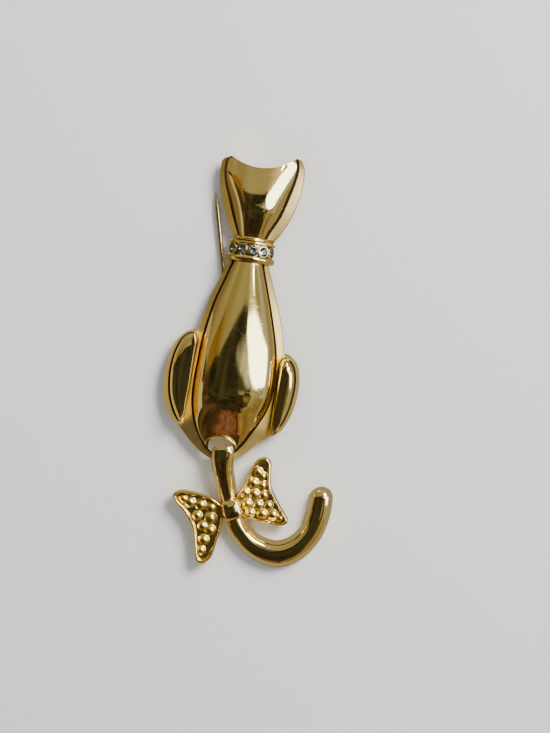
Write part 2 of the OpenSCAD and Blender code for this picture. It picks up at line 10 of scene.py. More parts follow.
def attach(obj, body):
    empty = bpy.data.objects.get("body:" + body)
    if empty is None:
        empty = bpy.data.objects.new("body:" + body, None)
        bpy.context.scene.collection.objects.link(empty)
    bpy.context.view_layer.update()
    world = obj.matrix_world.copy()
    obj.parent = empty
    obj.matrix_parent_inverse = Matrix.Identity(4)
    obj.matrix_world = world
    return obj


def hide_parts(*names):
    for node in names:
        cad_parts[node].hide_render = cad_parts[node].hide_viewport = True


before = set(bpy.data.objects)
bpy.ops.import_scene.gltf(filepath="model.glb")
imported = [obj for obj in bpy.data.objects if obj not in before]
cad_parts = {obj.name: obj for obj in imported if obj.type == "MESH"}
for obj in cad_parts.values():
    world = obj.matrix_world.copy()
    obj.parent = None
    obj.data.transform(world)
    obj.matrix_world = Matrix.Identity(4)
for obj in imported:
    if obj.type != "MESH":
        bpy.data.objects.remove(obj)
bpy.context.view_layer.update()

MM = 0.001

# Driving sizes, in millimetres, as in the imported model
BODY_L, BODY_W, BODY_DOME = 40.0, 19.2, 5.0
FIGURE_W, HAUNCH_L, HAUNCH_DOME = 26.2, 19.5, 1.7
HEAD_L, HEAD_W, HEAD_DOME, EAR_CURVE_R = 17.7, 16.3, 3.0, 9.8
WALL, EDGE_T, BAND_RISE, CREASE_W, CREASE_D = 1.2, 0.6, 1.1, 0.3, 0.25
COLLAR_R, COLLAR_H = 4.8, 4.0
STONES, STONE_D, STONE_STEP, STONE_TURN = 5, 1.85, 28.4, 5.0
HOLE_W, HOLE_H, LIP_R = 4.8, 3.2, 0.36
TAIL_REACH, TAIL_DROP, TAIL_W, TAIL_T = 22.5, 19.5, 5.0, 3.6
TONGUE_W, TONGUE_T, REST_TURN = 1.8, 0.84, 10.0
BOW_W, WING_T, WING_RIM_W, WING_FIELD_D, BUMP_D = 24.0, 2.0, 0.9, 0.75, 1.7

# Places, in millimetres. The figure is drawn about its widest line, with its rim at height 0; the frame's
# origin lies PIVOT_Y above that line, and the rim RIM_Z above the floor
PIVOT_Y = 2.6
RIM_Z = 2.35
NECK_Y = BODY_L * 0.656
HEAD_Y = NECK_Y + COLLAR_H * 0.29
HOLE_AT = np.array([-BODY_W * 0.016, -BODY_L * 0.29])
HOOK_AT = np.array([BODY_W * 0.01, -BODY_L * 0.349])
KNOT_AT = HOOK_AT + [0.153 * TAIL_REACH, -0.498 * TAIL_DROP]
CREASE_Z = EDGE_T + BAND_RISE
HEAD_CUT = (-0.049 * HEAD_W, HEAD_Y + HEAD_L * 0.834 + EAR_CURVE_R)
STONE_R = STONE_D / 2
STONE_SEAT_R = COLLAR_R * 0.9
CROWN_H, PAVILION_H = STONE_D * 0.16, STONE_D * 0.43

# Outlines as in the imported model: outer edge x, y and crease x, y, in shares of half the width and of the
# length, and the crease's share of the band's rise
BODY = np.array([
    [0.000, -0.372, 0.000, -0.342, 0.1],
    [0.333, -0.345, 0.240, -0.320, 0.2],
    [0.542, -0.300, 0.385, -0.280, 0.4],
    [0.740, -0.250, 0.516, -0.225, 0.8],
    [0.927, -0.202, 0.646, -0.165, 1],
    [0.990, -0.100, 0.781, -0.090, 1],
    [1.000, 0.000, 0.849, 0.000, 1],
    [0.990, 0.100, 0.839, 0.100, 1],
    [0.948, 0.200, 0.781, 0.200, 1],
    [0.854, 0.300, 0.672, 0.300, 1],
    [0.719, 0.400, 0.547, 0.400, 1],
    [0.552, 0.500, 0.411, 0.500, 1],
    [0.427, 0.575, 0.307, 0.575, 1],
    [0.344, 0.625, 0.250, 0.625, 1],
    [0.000, 0.645, 0.000, 0.637, 1],
    [-0.344, 0.625, -0.260, 0.625, 1],
    [-0.422, 0.575, -0.344, 0.575, 1],
    [-0.547, 0.500, -0.438, 0.500, 1],
    [-0.682, 0.400, -0.563, 0.400, 1],
    [-0.776, 0.300, -0.646, 0.300, 1],
    [-0.844, 0.200, -0.703, 0.200, 1],
    [-0.917, 0.100, -0.729, 0.100, 1],
    [-0.969, 0.000, -0.745, 0.000, 1],
    [-0.990, -0.100, -0.729, -0.090, 1],
    [-0.979, -0.205, -0.667, -0.165, 1],
    [-0.839, -0.250, -0.573, -0.225, 0.8],
    [-0.625, -0.300, -0.438, -0.280, 0.4],
    [-0.333, -0.350, -0.260, -0.320, 0.2],
])
LEFT_HAUNCH = np.array([
    [-0.645, -0.470, -0.672, -0.426, 0.8],
    [-0.573, -0.400, -0.622, -0.359, 0.35],
    [-0.560, -0.231, -0.612, -0.231, 0.35],
    [-0.553, -0.051, -0.601, -0.051, 0.3],
    [-0.545, 0.128, -0.597, 0.128, 0.3],
    [-0.538, 0.282, -0.596, 0.282, 0.35],
    [-0.535, 0.416, -0.592, 0.400, 0.5],
    [-0.603, 0.503, -0.649, 0.467, 1],
    [-0.771, 0.464, -0.771, 0.426, 1],
    [-0.893, 0.364, -0.847, 0.338, 1],
    [-0.962, 0.226, -0.901, 0.210, 1],
    [-1.004, 0.031, -0.920, 0.031, 1],
    [-0.973, -0.174, -0.882, -0.164, 1],
    [-0.863, -0.359, -0.786, -0.328, 1],
])
RIGHT_HAUNCH = np.array([
    [0.641, -0.456, 0.683, -0.431, 0.8],
    [0.817, -0.379, 0.771, -0.374, 1],
    [0.916, -0.251, 0.855, -0.241, 1],
    [0.973, -0.103, 0.905, -0.103, 1],
    [0.992, 0.072, 0.927, 0.072, 1],
    [0.962, 0.231, 0.901, 0.215, 1],
    [0.885, 0.328, 0.832, 0.303, 1],
    [0.733, 0.390, 0.733, 0.344, 1],
    [0.611, 0.318, 0.660, 0.292, 0.35],
    [0.600, 0.179, 0.651, 0.179, 0.4],
    [0.598, 0.026, 0.648, 0.026, 0.4],
    [0.598, -0.128, 0.646, -0.128, 0.4],
    [0.600, -0.267, 0.646, -0.267, 0.4],
    [0.604, -0.385, 0.650, -0.372, 0.35],
])
# Head: y, left edge, left crease, right crease, right edge, in shares of its length and half its width
HEAD = np.array([
    [0.000, -0.417, -0.282, 0.282, 0.454],
    [0.068, -0.460, -0.325, 0.313, 0.521],
    [0.147, -0.571, -0.399, 0.368, 0.632],
    [0.260, -0.693, -0.509, 0.491, 0.755],
    [0.373, -0.791, -0.607, 0.595, 0.853],
    [0.486, -0.883, -0.699, 0.663, 0.920],
    [0.599, -0.951, -0.798, 0.730, 0.969],
    [0.712, -0.994, -0.865, 0.785, 0.994],
    [0.797, -1.000, -0.883, 0.816, 1.000],
    [0.859, -0.988, -0.877, 0.828, 0.994],
    [0.893, -0.951, -0.859, 0.828, 0.982],
    [0.915, -0.859, -0.810, 0.822, 0.969],
    [0.932, -0.761, -0.736, 0.816, 0.951],
    [0.966, -0.613, -0.601, 0.798, 0.914],
    [0.989, -0.491, -0.479, 0.773, 0.871],
    [1.000, -0.429, -0.417, 0.736, 0.785],
])
# Tail from the hook: x, y, width, underside and top, in shares of its reach, drop, width and thickness
TAIL = np.array([
    [0.001, 0.110, 0.80, 1.43, 1.67],
    [0.007, 0.054, 0.86, 1.33, 1.69],
    [0.013, -0.033, 0.86, 1.19, 1.67],
    [0.031, -0.126, 0.82, 0.94, 1.58],
    [0.057, -0.220, 0.79, 0.56, 1.44],
    [0.101, -0.363, 0.74, 0.19, 1.28],
    [0.153, -0.498, 0.76, 0.03, 1.17],
    [0.220, -0.658, 0.86, 0, 1.08],
    [0.352, -0.806, 0.91, 0, 1.03],
    [0.507, -0.871, 1.01, 0, 1],
    [0.629, -0.865, 1.04, 0, 1],
    [0.756, -0.777, 0.98, 0, 1],
    [0.853, -0.618, 0.92, 0, 1],
    [0.891, -0.428, 0.95, 0, 1],
    [0.898, -0.264, 0.92, 0, 0.97],
    [0.884, -0.150, 0.88, 0, 0.94],
])
# The bow from the knot: x, y in shares of its width, and each bump's share of the bumps' diameter
LEFT_WING = np.array([
    [-0.165, -0.464], [-0.107, -0.403], [-0.084, -0.289], [-0.064, -0.180], [-0.060, -0.080],
    [-0.060, 0.003], [-0.160, 0.069], [-0.302, 0.096], [-0.427, 0.097], [-0.490, 0.053],
    [-0.456, -0.010], [-0.390, -0.072], [-0.335, -0.135], [-0.296, -0.205], [-0.271, -0.289],
    [-0.254, -0.364], [-0.242, -0.422], [-0.215, -0.460],
])
RIGHT_WING = np.array([
    [0.398, -0.074], [0.450, -0.050], [0.456, -0.010], [0.397, 0.067], [0.338, 0.147],
    [0.288, 0.230], [0.271, 0.326], [0.261, 0.409], [0.231, 0.448], [0.186, 0.452],
    [0.139, 0.420], [0.101, 0.336], [0.081, 0.240], [0.040, 0.149], [-0.002, 0.053],
    [0.031, -0.026], [0.138, -0.049], [0.277, -0.068],
])
BUMPS = np.array([
    [-0.400, 0.030, 0.8], [-0.342, 0.010, 1], [-0.255, 0.000, 1], [-0.165, -0.010, 1],
    [-0.270, -0.090, 0.9], [-0.160, -0.095, 1.15], [-0.215, -0.165, 0.9], [-0.150, -0.190, 1],
    [-0.190, -0.275, 1], [-0.200, -0.360, 0.85], [0.165, 0.330, 0.85], [0.205, 0.300, 0.8],
    [0.140, 0.235, 1], [0.215, 0.225, 0.9], [0.085, 0.150, 0.9], [0.160, 0.150, 1],
    [0.235, 0.150, 0.9], [0.110, 0.065, 1], [0.200, 0.070, 1], [0.285, 0.075, 0.85],
    [0.150, -0.005, 0.8], [0.245, 0.000, 1], [0.330, 0.005, 1], [0.395, -0.015, 0.7],
])


# Curves through rows

TINY = 1e-9
CREST_FALL = 1.7


def spline(a, b, c, d, t):
    """A point on a smooth curve through four others, between the middle two."""
    return 0.5 * (2 * b + (c - a) * t + (2 * a - 5 * b + 4 * c - d) * t**2
                  + (3 * b - a - 3 * c + d) * t**3)


def closed_run(rows, steps):
    """Points along a closed curve through rows."""
    n = len(rows)
    return np.array([
        spline(rows[i - 1], rows[i], rows[(i + 1) % n], rows[(i + 2) % n], j / steps)
        for i in range(n) for j in range(steps)])


def open_at(rows, s):
    """The point of an open curve through rows at s, counted in rows."""
    n = len(rows)
    i = min(int(s), n - 2)
    return spline(rows[max(i - 1, 0)], rows[i], rows[i + 1], rows[min(i + 2, n - 1)], s - i)


def open_run(rows, steps):
    return np.array([open_at(rows, i / steps) for i in range((len(rows) - 1) * steps + 1)])


def unit(v):
    length = np.linalg.norm(v, axis=-1, keepdims=True)
    return v / np.maximum(length, TINY)


def ease(t):
    """From 1 at t = 0 smoothly down to 0 at t = 1."""
    return math.cos(math.pi / 2 * min(max(t, 0), 1)) ** 2


def crest(y, peak, low, low_share, high, high_share):
    """A ridge's share of its full height at y, with the shares that are left at its two ends."""
    if y < peak:
        return low_share + (1 - low_share) * ease((peak - y) / (peak - low))
    return 1 - (1 - high_share) * ((y - peak) / (high - peak)) ** CREST_FALL


def between(y, low, high, soft):
    """Holds y between two ends, with soft corners."""
    return (math.hypot(y - low, soft) - math.hypot(y - high, soft) + low + high) / 2


def inside(points, outline):
    """Which points lie inside a closed outline, seen from above."""
    x, y = points[:, 0:1], points[:, 1:2]
    ax, ay = outline[:, 0], outline[:, 1]
    bx, by = np.roll(ax, -1), np.roll(ay, -1)
    rise = np.where(by == ay, TINY, by - ay)
    crossed = ((ay > y) != (by > y)) & (x < ax + (y - ay) / rise * (bx - ax))
    return crossed.sum(axis=1) % 2 == 1


# Meshes

SHARP_ANGLE = 32.0
MERGE_DISTANCE = 1e-7


def new_object(name, points, faces):
    mesh = bpy.data.meshes.new(name)
    mesh.from_pydata((np.asarray(points) * MM).tolist(), [], faces)
    mesh.validate()
    obj = bpy.data.objects.new(name, mesh)
    bpy.context.scene.collection.objects.link(obj)
    return obj


def skin(name, rings, caps="ladder"):
    """A closed mesh from rings of equal count, each anticlockwise seen from the last one; its two ends
    are closed by rungs across, or by one polygon."""
    n, m = len(rings[0]), len(rings)
    faces = [(k * n + i, k * n + (i + 1) % n, (k + 1) * n + (i + 1) % n, (k + 1) * n + i)
             for k in range(m - 1) for i in range(n)]
    if caps == "ladder":
        rungs = [(i, i + 1, n - i - 1, (n - i) % n) for i in range(n // 2)]
        cap = [tuple(dict.fromkeys(r)) for r in rungs]
    else:
        cap = [tuple(range(n))]
    cap = [c for c in cap if len(c) > 2]
    faces += [tuple(v + (m - 1) * n for v in c) for c in cap]
    faces += [tuple(reversed(c)) for c in cap]
    return new_object(name, np.concatenate(rings), faces)


def ring(xy, z):
    return np.column_stack([xy, np.broadcast_to(z, len(xy))])


def join_solids(base, others, operation="UNION"):
    """Joins or cuts solids exactly and removes the tools."""
    for other in others:
        change = base.modifiers.new("join", "BOOLEAN")
        change.operation = operation
        change.solver = "MANIFOLD"
        change.object = other
        depsgraph = bpy.context.evaluated_depsgraph_get()
        mesh = bpy.data.meshes.new_from_object(base.evaluated_get(depsgraph))
        base.modifiers.clear()
        base.data = mesh
        bpy.data.objects.remove(other)
    return base


def finish_piece(obj, body, material, replaces):
    mesh = obj.data
    mesh.materials.clear()
    mesh.materials.append(material)
    mesh.shade_smooth()
    mesh.set_sharp_from_angle(angle=math.radians(SHARP_ANGLE))
    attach(obj, body)
    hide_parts(*replaces)


def prism(name, outline, low, high):
    outline = np.asarray(outline)
    return skin(name, [ring(outline, low), ring(outline, high)], caps="polygon")


def around(count):
    """Angles in equal steps round a whole turn."""
    return np.linspace(0, 2 * math.pi, count, endpoint=False)


def circle_points(radius, count, centre):
    t = around(count)
    return np.column_stack([np.cos(t), np.sin(t)]) * radius + centre


def arc(centre, radius, start=0, end=345, count=24):
    """Points along an arc; without its last three values, a whole round section."""
    x, y = centre
    return [(x + radius * math.cos(math.radians(a)), y + radius * math.sin(math.radians(a)))
            for a in np.linspace(start, end, count)]


def turned(name, profile, facets):
    """A closed profile of radius and height, turned about Z."""
    points = [(r * math.cos(a), r * math.sin(a), z) for a in around(facets) for r, z in profile]
    m = len(profile)
    faces = []
    for i in range(facets):
        here, there = i * m, (i + 1) % facets * m
        faces += [(here + j, there + j, there + (j + 1) % m, here + (j + 1) % m) for j in range(m)]
    obj = new_object(name, points, faces)
    drop_doubles(obj)
    return obj


def drop_doubles(obj):
    edit = bmesh.new()
    edit.from_mesh(obj.data)
    bmesh.ops.remove_doubles(edit, verts=edit.verts, dist=MERGE_DISTANCE)
    bmesh.ops.recalc_face_normals(edit, faces=edit.faces)
    edit.to_mesh(obj.data)
    edit.free()


def moved(obj, matrix):
    obj.data.transform(matrix)
    return obj


def shift(x, y, z):
    return Matrix.Translation((x * MM, y * MM, z * MM))


# The figure: pads with a band, a crease and a dome, hollow behind

BODY_STEPS, HAUNCH_STEPS, HEAD_STEPS, HEAD_HOLLOW_STEPS = 8, 10, 6, 4
BAND_STEPS, DOME_STEPS, HOLLOW_STEPS = 8, 26, 13
EAR_FACETS, NECK_FACETS, LIP_FACETS, HOLE_FACETS, SETTING_FACETS = 256, 192, 128, 96, 64
HEAD_COLUMNS, HEAD_HOLLOW_COLUMNS = 48, 20
DOME_REACH = math.radians(89.7)
CUT_LOW, CUT_HIGH = -2, 20

# The edge, in millimetres, and the crease across and down in shares of its width and depth
EDGE_ROUND = 0.16
UNDERSIDE = [(0.07, 0.0), (0.02, 0.02), (0.0, 0.07)]
BAND_END = 0.75
CREASE_SECTION = [(-0.55, 0.12), (-0.35, 0.6), (-0.1, 1), (0.15, 1), (0.38, 0.6)]
LEAST_BAND = 0.3

# The hollow, in shares of the wall, and the least height over its foot in millimetres
HOLLOW_INSET, HOLLOW_DROP, HOLLOW_LEAST = 0.8, 0.75, 0.2

# The body's ridge: ends, softness and peak in shares of its length, x in shares of its width, and the
# shares of its height that are left at its foot and top
BODY_LOW, BODY_HIGH, BODY_SOFT, BODY_RIDGE_X = -0.28, 0.62, 0.03, 0.005
BODY_PEAK, BODY_FOOT, BODY_FOOT_SHARE, BODY_TOP, BODY_TOP_SHARE = -0.03, -0.335, 0.1, 0.64, 0.5
# The haunches' ridges: their reach down and up from the middle, softness, and each one's x and middle
HAUNCH_LOW, HAUNCH_HIGH, HAUNCH_SOFT = 0.27, 0.22, 0.05
LEFT_RIDGE, RIGHT_RIDGE = (-0.655, 0), (0.79, -0.03)
# The head's ridge: its peak and the shares of its height at the neck and at the ears
HEAD_PEAK, HEAD_LOW_SHARE, HEAD_TOP_SHARE = 0.4, 0.4, 0.45

# How full the domes are, and where a haunch passes from its inner side's fullness to its outer side's
HAUNCH_FULLNESS, LEFT_INNER, RIGHT_INNER = 2.5, 14.0, 3.0
INNER_FADE, INNER_START = 0.5, 0.6
# The head's dome across: its fullness, the cosine's start and span, and how near it comes to the crease
HEAD_FULLNESS = 3
HEAD_START, HEAD_SPAN, HEAD_FOOT = 0.06, 0.88, 0.955

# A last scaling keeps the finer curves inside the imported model's box
FIGURE_FIT = (0.9997, 0.9997, 0.9965, 1)


def edge_profile(width, rise, groove=1.0):
    """Inset and height from the rim plane to the dome's foot: rounded edge, band, crease."""
    r = EDGE_ROUND
    slope = (rise - EDGE_T) / (width - CREASE_W / 2)
    points = UNDERSIDE + [(0.0, EDGE_T - r)]
    for a in (22.5, 45, 67.5):
        s = math.radians(a)
        z = EDGE_T - r + r * math.sin(s) + slope * r * (1 - math.cos(s))
        points.append((r * (1 - math.cos(s)), z))
    end = width - CREASE_W * BAND_END
    for i in range(BAND_STEPS + 1):
        d = r + (end - r) * i / BAND_STEPS
        points.append((d, EDGE_T + slope * d))
    top, deep = EDGE_T + slope * end, CREASE_D * groove
    return points + [(width + CREASE_W * across, top - deep * down) for across, down in CREASE_SECTION]


def pad(name, rows, steps, ridge, fullness=2.0, inner=2.0):
    """A hollow pad from outline rows and its highest line; inner is the fullness of its inner side."""
    run = closed_run(rows, steps)
    outer, foot = run[:, 0:2], run[:, 2:4]
    foot_z = EDGE_T + BAND_RISE * run[:, 4]
    width = np.linalg.norm(foot - outer, axis=1)
    inward = unit(foot - outer)
    top = np.array([ridge(y) for y in foot[:, 1]])
    out = np.ones(len(run))
    if inner != fullness:
        out = np.clip((np.abs(foot[:, 0]) - np.abs(top[:, 0])) / INNER_FADE + INNER_START, 0, 1)
    arch = 2 / (inner + (fullness - inner) * out[:, None])
    profiles = np.array([edge_profile(w, z, g) for w, z, g in zip(width, foot_z, out)])
    rings = [ring(outer + inward * profiles[:, k, 0:1], profiles[:, k, 1])
             for k in range(profiles.shape[1])]
    start = foot + inward * CREASE_W / 2
    for j in range(1, DOME_STEPS + 1):
        a = DOME_REACH * (j / DOME_STEPS)
        xy = start + (top[:, 0:2] - start) * (1 - math.cos(a) ** arch)
        rings.append(ring(xy, foot_z + (top[:, 2] - foot_z) * math.sin(a) ** arch[:, 0]))
    hollow_foot = foot + unit(top[:, 0:2] - foot) * WALL * HOLLOW_INSET
    hollow_z = np.maximum(foot_z - WALL * HOLLOW_DROP, HOLLOW_LEAST)
    hollow = [ring(hollow_foot, 0)]
    for j in range(0, HOLLOW_STEPS + 1):
        a = DOME_REACH * (j / HOLLOW_STEPS)
        xy = hollow_foot + (top[:, 0:2] - hollow_foot) * (1 - math.cos(a))
        z = np.maximum(hollow_z + (top[:, 2] - WALL - hollow_z) * math.sin(a), hollow_z)
        hollow.append(ring(xy, z))
    return skin(name, hollow[::-1] + rings)


def body_ridge(y):
    s = between(y, BODY_LOW * BODY_L, BODY_HIGH * BODY_L, BODY_SOFT * BODY_L)
    foot, top = BODY_FOOT * BODY_L, BODY_TOP * BODY_L
    share = crest(s, BODY_PEAK * BODY_L, foot, BODY_FOOT_SHARE, top, BODY_TOP_SHARE)
    return (BODY_W * BODY_RIDGE_X, s, EDGE_T + (BAND_RISE + BODY_DOME) * share)


def haunch_ridge(x, mid):
    low, high = (mid - HAUNCH_LOW) * HAUNCH_L, (mid + HAUNCH_HIGH) * HAUNCH_L

    def ridge(y):
        s = between(y, low, high, HAUNCH_SOFT * HAUNCH_L)
        return (x * FIGURE_W / 2, s, CREASE_Z + HAUNCH_DOME)
    return ridge


def head_height(y):
    return HEAD_DOME * crest((y - HEAD_Y) / HEAD_L, HEAD_PEAK, 0, HEAD_LOW_SHARE, 1, HEAD_TOP_SHARE)


def head_section(row):
    """One row of the head from its left rim over the dome to its right rim."""
    y = HEAD_Y + row[0] * HEAD_L
    left, crease_l, crease_r, right = row[1:5] * HEAD_W / 2
    height = head_height(y)
    lead = edge_profile(max(crease_l - left, LEAST_BAND), CREASE_Z)
    trail = edge_profile(max(right - crease_r, LEAST_BAND), CREASE_Z)
    points = [(left + d, z) for d, z in lead]
    for i in range(HEAD_COLUMNS + 1):
        turn = HEAD_START + HEAD_SPAN * i / HEAD_COLUMNS
        u = -math.cos(math.pi * turn) / math.cos(math.pi * HEAD_START)
        x = crease_l + (crease_r - crease_l) * (u * HEAD_FOOT + 1) / 2
        points.append((x, CREASE_Z + height * (1 - abs(u) ** HEAD_FULLNESS)))
    points += [(right - d, z) for d, z in reversed(trail)]
    return np.array([(x, y, z) for x, z in points])


def head_hollow_section(row):
    """One row of the hollow under the head, which reaches out below the rim plane."""
    y = HEAD_Y + row[0] * HEAD_L
    inset = WALL * HOLLOW_INSET
    least_half, below = 0.4, -1
    left = min(row[2] * HEAD_W / 2 + inset, -least_half)
    right = max(row[3] * HEAD_W / 2 - inset, least_half)
    height = head_height(y) - WALL * (1 - HOLLOW_INSET)
    points = [(left, below)]
    for i in range(HEAD_HOLLOW_COLUMNS + 1):
        u = 2 * i / HEAD_HOLLOW_COLUMNS - 1
        z = CREASE_Z - inset + height * (1 - abs(u) ** HEAD_FULLNESS)
        points.append((left + (right - left) * (u + 1) / 2, z))
    points.append((right, below))
    return np.array([(x, y, z) for x, z in points])


def ear_cut(name, radius):
    return prism(name, circle_points(radius, EAR_FACETS, HEAD_CUT), CUT_LOW, CUT_HIGH)


def head():
    shell = skin("head", [head_section(r) for r in open_run(HEAD, HEAD_STEPS)], caps="polygon")
    hollow_rows = open_run(HEAD[2:], HEAD_HOLLOW_STEPS)
    hollow = skin("head_hollow", [head_hollow_section(r) for r in hollow_rows], caps="polygon")
    join_solids(shell, [ear_cut("ear_curve", EAR_CURVE_R)], "DIFFERENCE")
    join_solids(hollow, [ear_cut("ear_wall", EAR_CURVE_R + WALL)], "DIFFERENCE")
    return join_solids(shell, [hollow], "DIFFERENCE")


def neck_turning(name, profile):
    """A ring about the neck, turned and cut flat behind."""
    reach = 20
    obj = turned(name, profile, NECK_FACETS)
    moved(obj, Matrix.Rotation(math.radians(-90), 4, "X"))
    moved(obj, shift(0, NECK_Y, 0))
    below = prism("below", [(-reach, 0), (reach, 0), (reach, 3 * reach), (-reach, 3 * reach)], -reach, 0)
    return join_solids(obj, [below], "DIFFERENCE")


def collar_parts():
    """The collar's core and two rims, and above it the neck's core and ring."""
    floor_r = COLLAR_R * 0.855
    low, high = -COLLAR_H * 0.54, COLLAR_H * 0.43
    low_rim_r, low_rim_y = COLLAR_H * 0.165, -COLLAR_H * 0.41
    high_rim_r, high_rim_y, high_rim_reach = COLLAR_H * 0.06, COLLAR_H * 0.35, COLLAR_R * 0.95
    neck_r, neck_top = COLLAR_R * 0.68, COLLAR_H * 0.62
    ring_r, ring_y = COLLAR_H * 0.12, COLLAR_H * 0.55
    core_r = neck_r - ring_r * 1.3
    yield neck_turning("collar_core", [(0, low), (floor_r, low), (floor_r, high), (0, high)])
    yield neck_turning("low_rim", arc((COLLAR_R - low_rim_r, low_rim_y), low_rim_r))
    yield neck_turning("high_rim", arc((high_rim_reach - high_rim_r, high_rim_y), high_rim_r))
    yield neck_turning("neck_core", [(0, 0), (core_r, 0), (core_r, neck_top), (0, neck_top)])
    yield neck_turning("neck_ring", arc((neck_r - ring_r, ring_y), ring_r))


def stone_matrix(i):
    angle = math.radians(STONE_TURN + (i - (STONES + 1) / 2) * STONE_STEP)
    return shift(0, NECK_Y, 0) @ Matrix.Rotation(angle, 4, "Y") @ shift(0, 0, STONE_SEAT_R)


def collet(i):
    """The small cup round a stone, with its top edge rounded."""
    depth = COLLAR_R * 0.15
    r, top, corner = STONE_R * 1.238, STONE_D * 0.11, 0.08
    rounded = arc((r - corner, top - corner), corner, 30, 90, 3)
    profile = [(0, -depth), (r, -depth), (r, top - corner)] + rounded + [(0, top)]
    return moved(turned("collet", profile, SETTING_FACETS), stone_matrix(i))


def stone_seat(i):
    """The hole that a stone sits in, a little wider and deeper than the stone."""
    gap = 0.05
    r, low = STONE_R + gap, -PAVILION_H - 2 * gap
    profile = [(0, low), (gap, low), (r, -gap), (r, COLLAR_R), (0, COLLAR_R)]
    return moved(turned("seat", profile, SETTING_FACETS), stone_matrix(i))


def hole_prism():
    """The tail's hole: an arch above, and below it a flat edge with round corners."""
    t = around(HOLE_FACETS)
    x, y = HOLE_W / 2 * np.cos(t), HOLE_H / 2 * np.sin(t)
    corner, flat, widening = HOLE_W * 0.11, HOLE_W * 0.3, 1.25
    low = y < 0
    side = np.sign(x) * np.minimum(np.abs(x) * widening, HOLE_W / 2)
    x = np.where(low, side, x)
    reach = flat + corner
    squared = -HOLE_H / 2 * np.clip((1 - (np.abs(x) / (HOLE_W / 2)) ** 4), 0, 1) ** 0.25
    y = np.where(low, np.maximum(squared, -HOLE_H / 2 + np.maximum(np.abs(x) - reach, 0)), y)
    return prism("hole", np.column_stack([x, y]) + HOLE_AT, CUT_LOW, CUT_HIGH)


def hole_lip():
    """The rolled lip round the hole, tilted with the dome."""
    a, b = HOLE_W / 2 + LIP_R * 0.5, HOLE_H / 2 + LIP_R * 0.3
    low, tilt = EDGE_T + LIP_R * 0.6, math.radians(27)
    obj = turned("hole_lip", arc((b, 0), LIP_R), LIP_FACETS)
    place = (shift(HOLE_AT[0], HOLE_AT[1] - b, low) @ Matrix.Rotation(tilt, 4, "X")
             @ shift(0, b, 0) @ Matrix.Diagonal((a / b, 1, 1, 1)))
    return moved(obj, place)


# Painted shade beside the crease, outwards and inwards in crease widths, west and east of the middle
PAINTED_SHADE_OUT, PAINTED_SHADE_IN = (0.75, 0.5), (0.4, 1.4)
# The haunches keep it only outside these shares of half the figure's width
LEFT_PAINTED_SHADE_X, RIGHT_PAINTED_SHADE_X = -0.7, 0.8
LEFT_DOME, RIGHT_DOME = 1, 2
BAND_SLOT, PAINTED_SHADE_SLOT = 1, 2
# A band faces up, is no higher than this over the crease in millimetres, and leaves the collar out
FACES_UP, BAND_OVER_CREASE = 0.02, 0.5
COLLAR_MIDDLE, COLLAR_HALF = 0.1, 0.62
# The left haunch's inner shoulder leans east by more than this; it takes the bands' duller and darker gold,
# a painted shade
SHOULDER_LEAN = 0.3


def dome_outlines(rows):
    """The crease round each dome, and the way inwards from it, at every point."""
    for r in rows:
        run = closed_run(r, BODY_STEPS)
        yield run[:, 2:4], unit(run[:, 2:4] - run[:, 0:2])
    head_rows = open_run(HEAD, HEAD_STEPS)
    y = HEAD_Y + head_rows[:, 0] * HEAD_L
    left, right = [np.column_stack([head_rows[:, k] * HEAD_W / 2, y]) for k in (2, 3)]
    yield np.concatenate([left, right[::-1]]), np.repeat([[1.0, 0.0], [-1.0, 0.0]], len(y), axis=0)


def bands_and_painted_shade(mesh, rows, band_material, crease_shade_material):
    """Gives the bands round the domes their softer polish and a darker tone, which is painted shade, and
    paints shade along the creases.
    """
    centre = np.array([face.center for face in mesh.polygons]) / MM + [0, PIVOT_Y, -RIM_Z]
    normal = np.array([face.normal for face in mesh.polygons])
    collar = np.abs(centre[:, 1] - NECK_Y - COLLAR_MIDDLE) < COLLAR_H * COLLAR_HALF
    domes, crease = np.zeros((2, len(centre)), bool)
    for number, (outline, inward) in enumerate(dome_outlines(rows)):
        domes |= inside(centre, outline)
        east = (outline[:, 0:1] > 0).astype(int)
        outwards, inwards = np.take(PAINTED_SHADE_OUT, east) * CREASE_W, np.take(PAINTED_SHADE_IN, east) * CREASE_W
        line = inside(centre, outline - inward * outwards) & ~inside(centre, outline + inward * inwards)
        if number == LEFT_DOME:
            line &= centre[:, 0] < LEFT_PAINTED_SHADE_X * FIGURE_W / 2
            shoulder = inside(centre, outline) & (normal[:, 0] > SHOULDER_LEAN)
        if number == RIGHT_DOME:
            line &= centre[:, 0] > RIGHT_PAINTED_SHADE_X * FIGURE_W / 2
        crease |= line
    low = ~collar & (centre[:, 2] < CREASE_Z + BAND_OVER_CREASE)
    # Upward bands and the left shoulder take the duller gold, whose darker tone is painted shade
    band = ~domes & low & (normal[:, 2] > FACES_UP) | shoulder
    mesh.materials.append(band_material)
    mesh.materials.append(crease_shade_material)
    # Faces along the crease take the painted shade
    mesh.polygons.foreach_set("material_index", np.where(crease & low, PAINTED_SHADE_SLOT, band * BAND_SLOT))


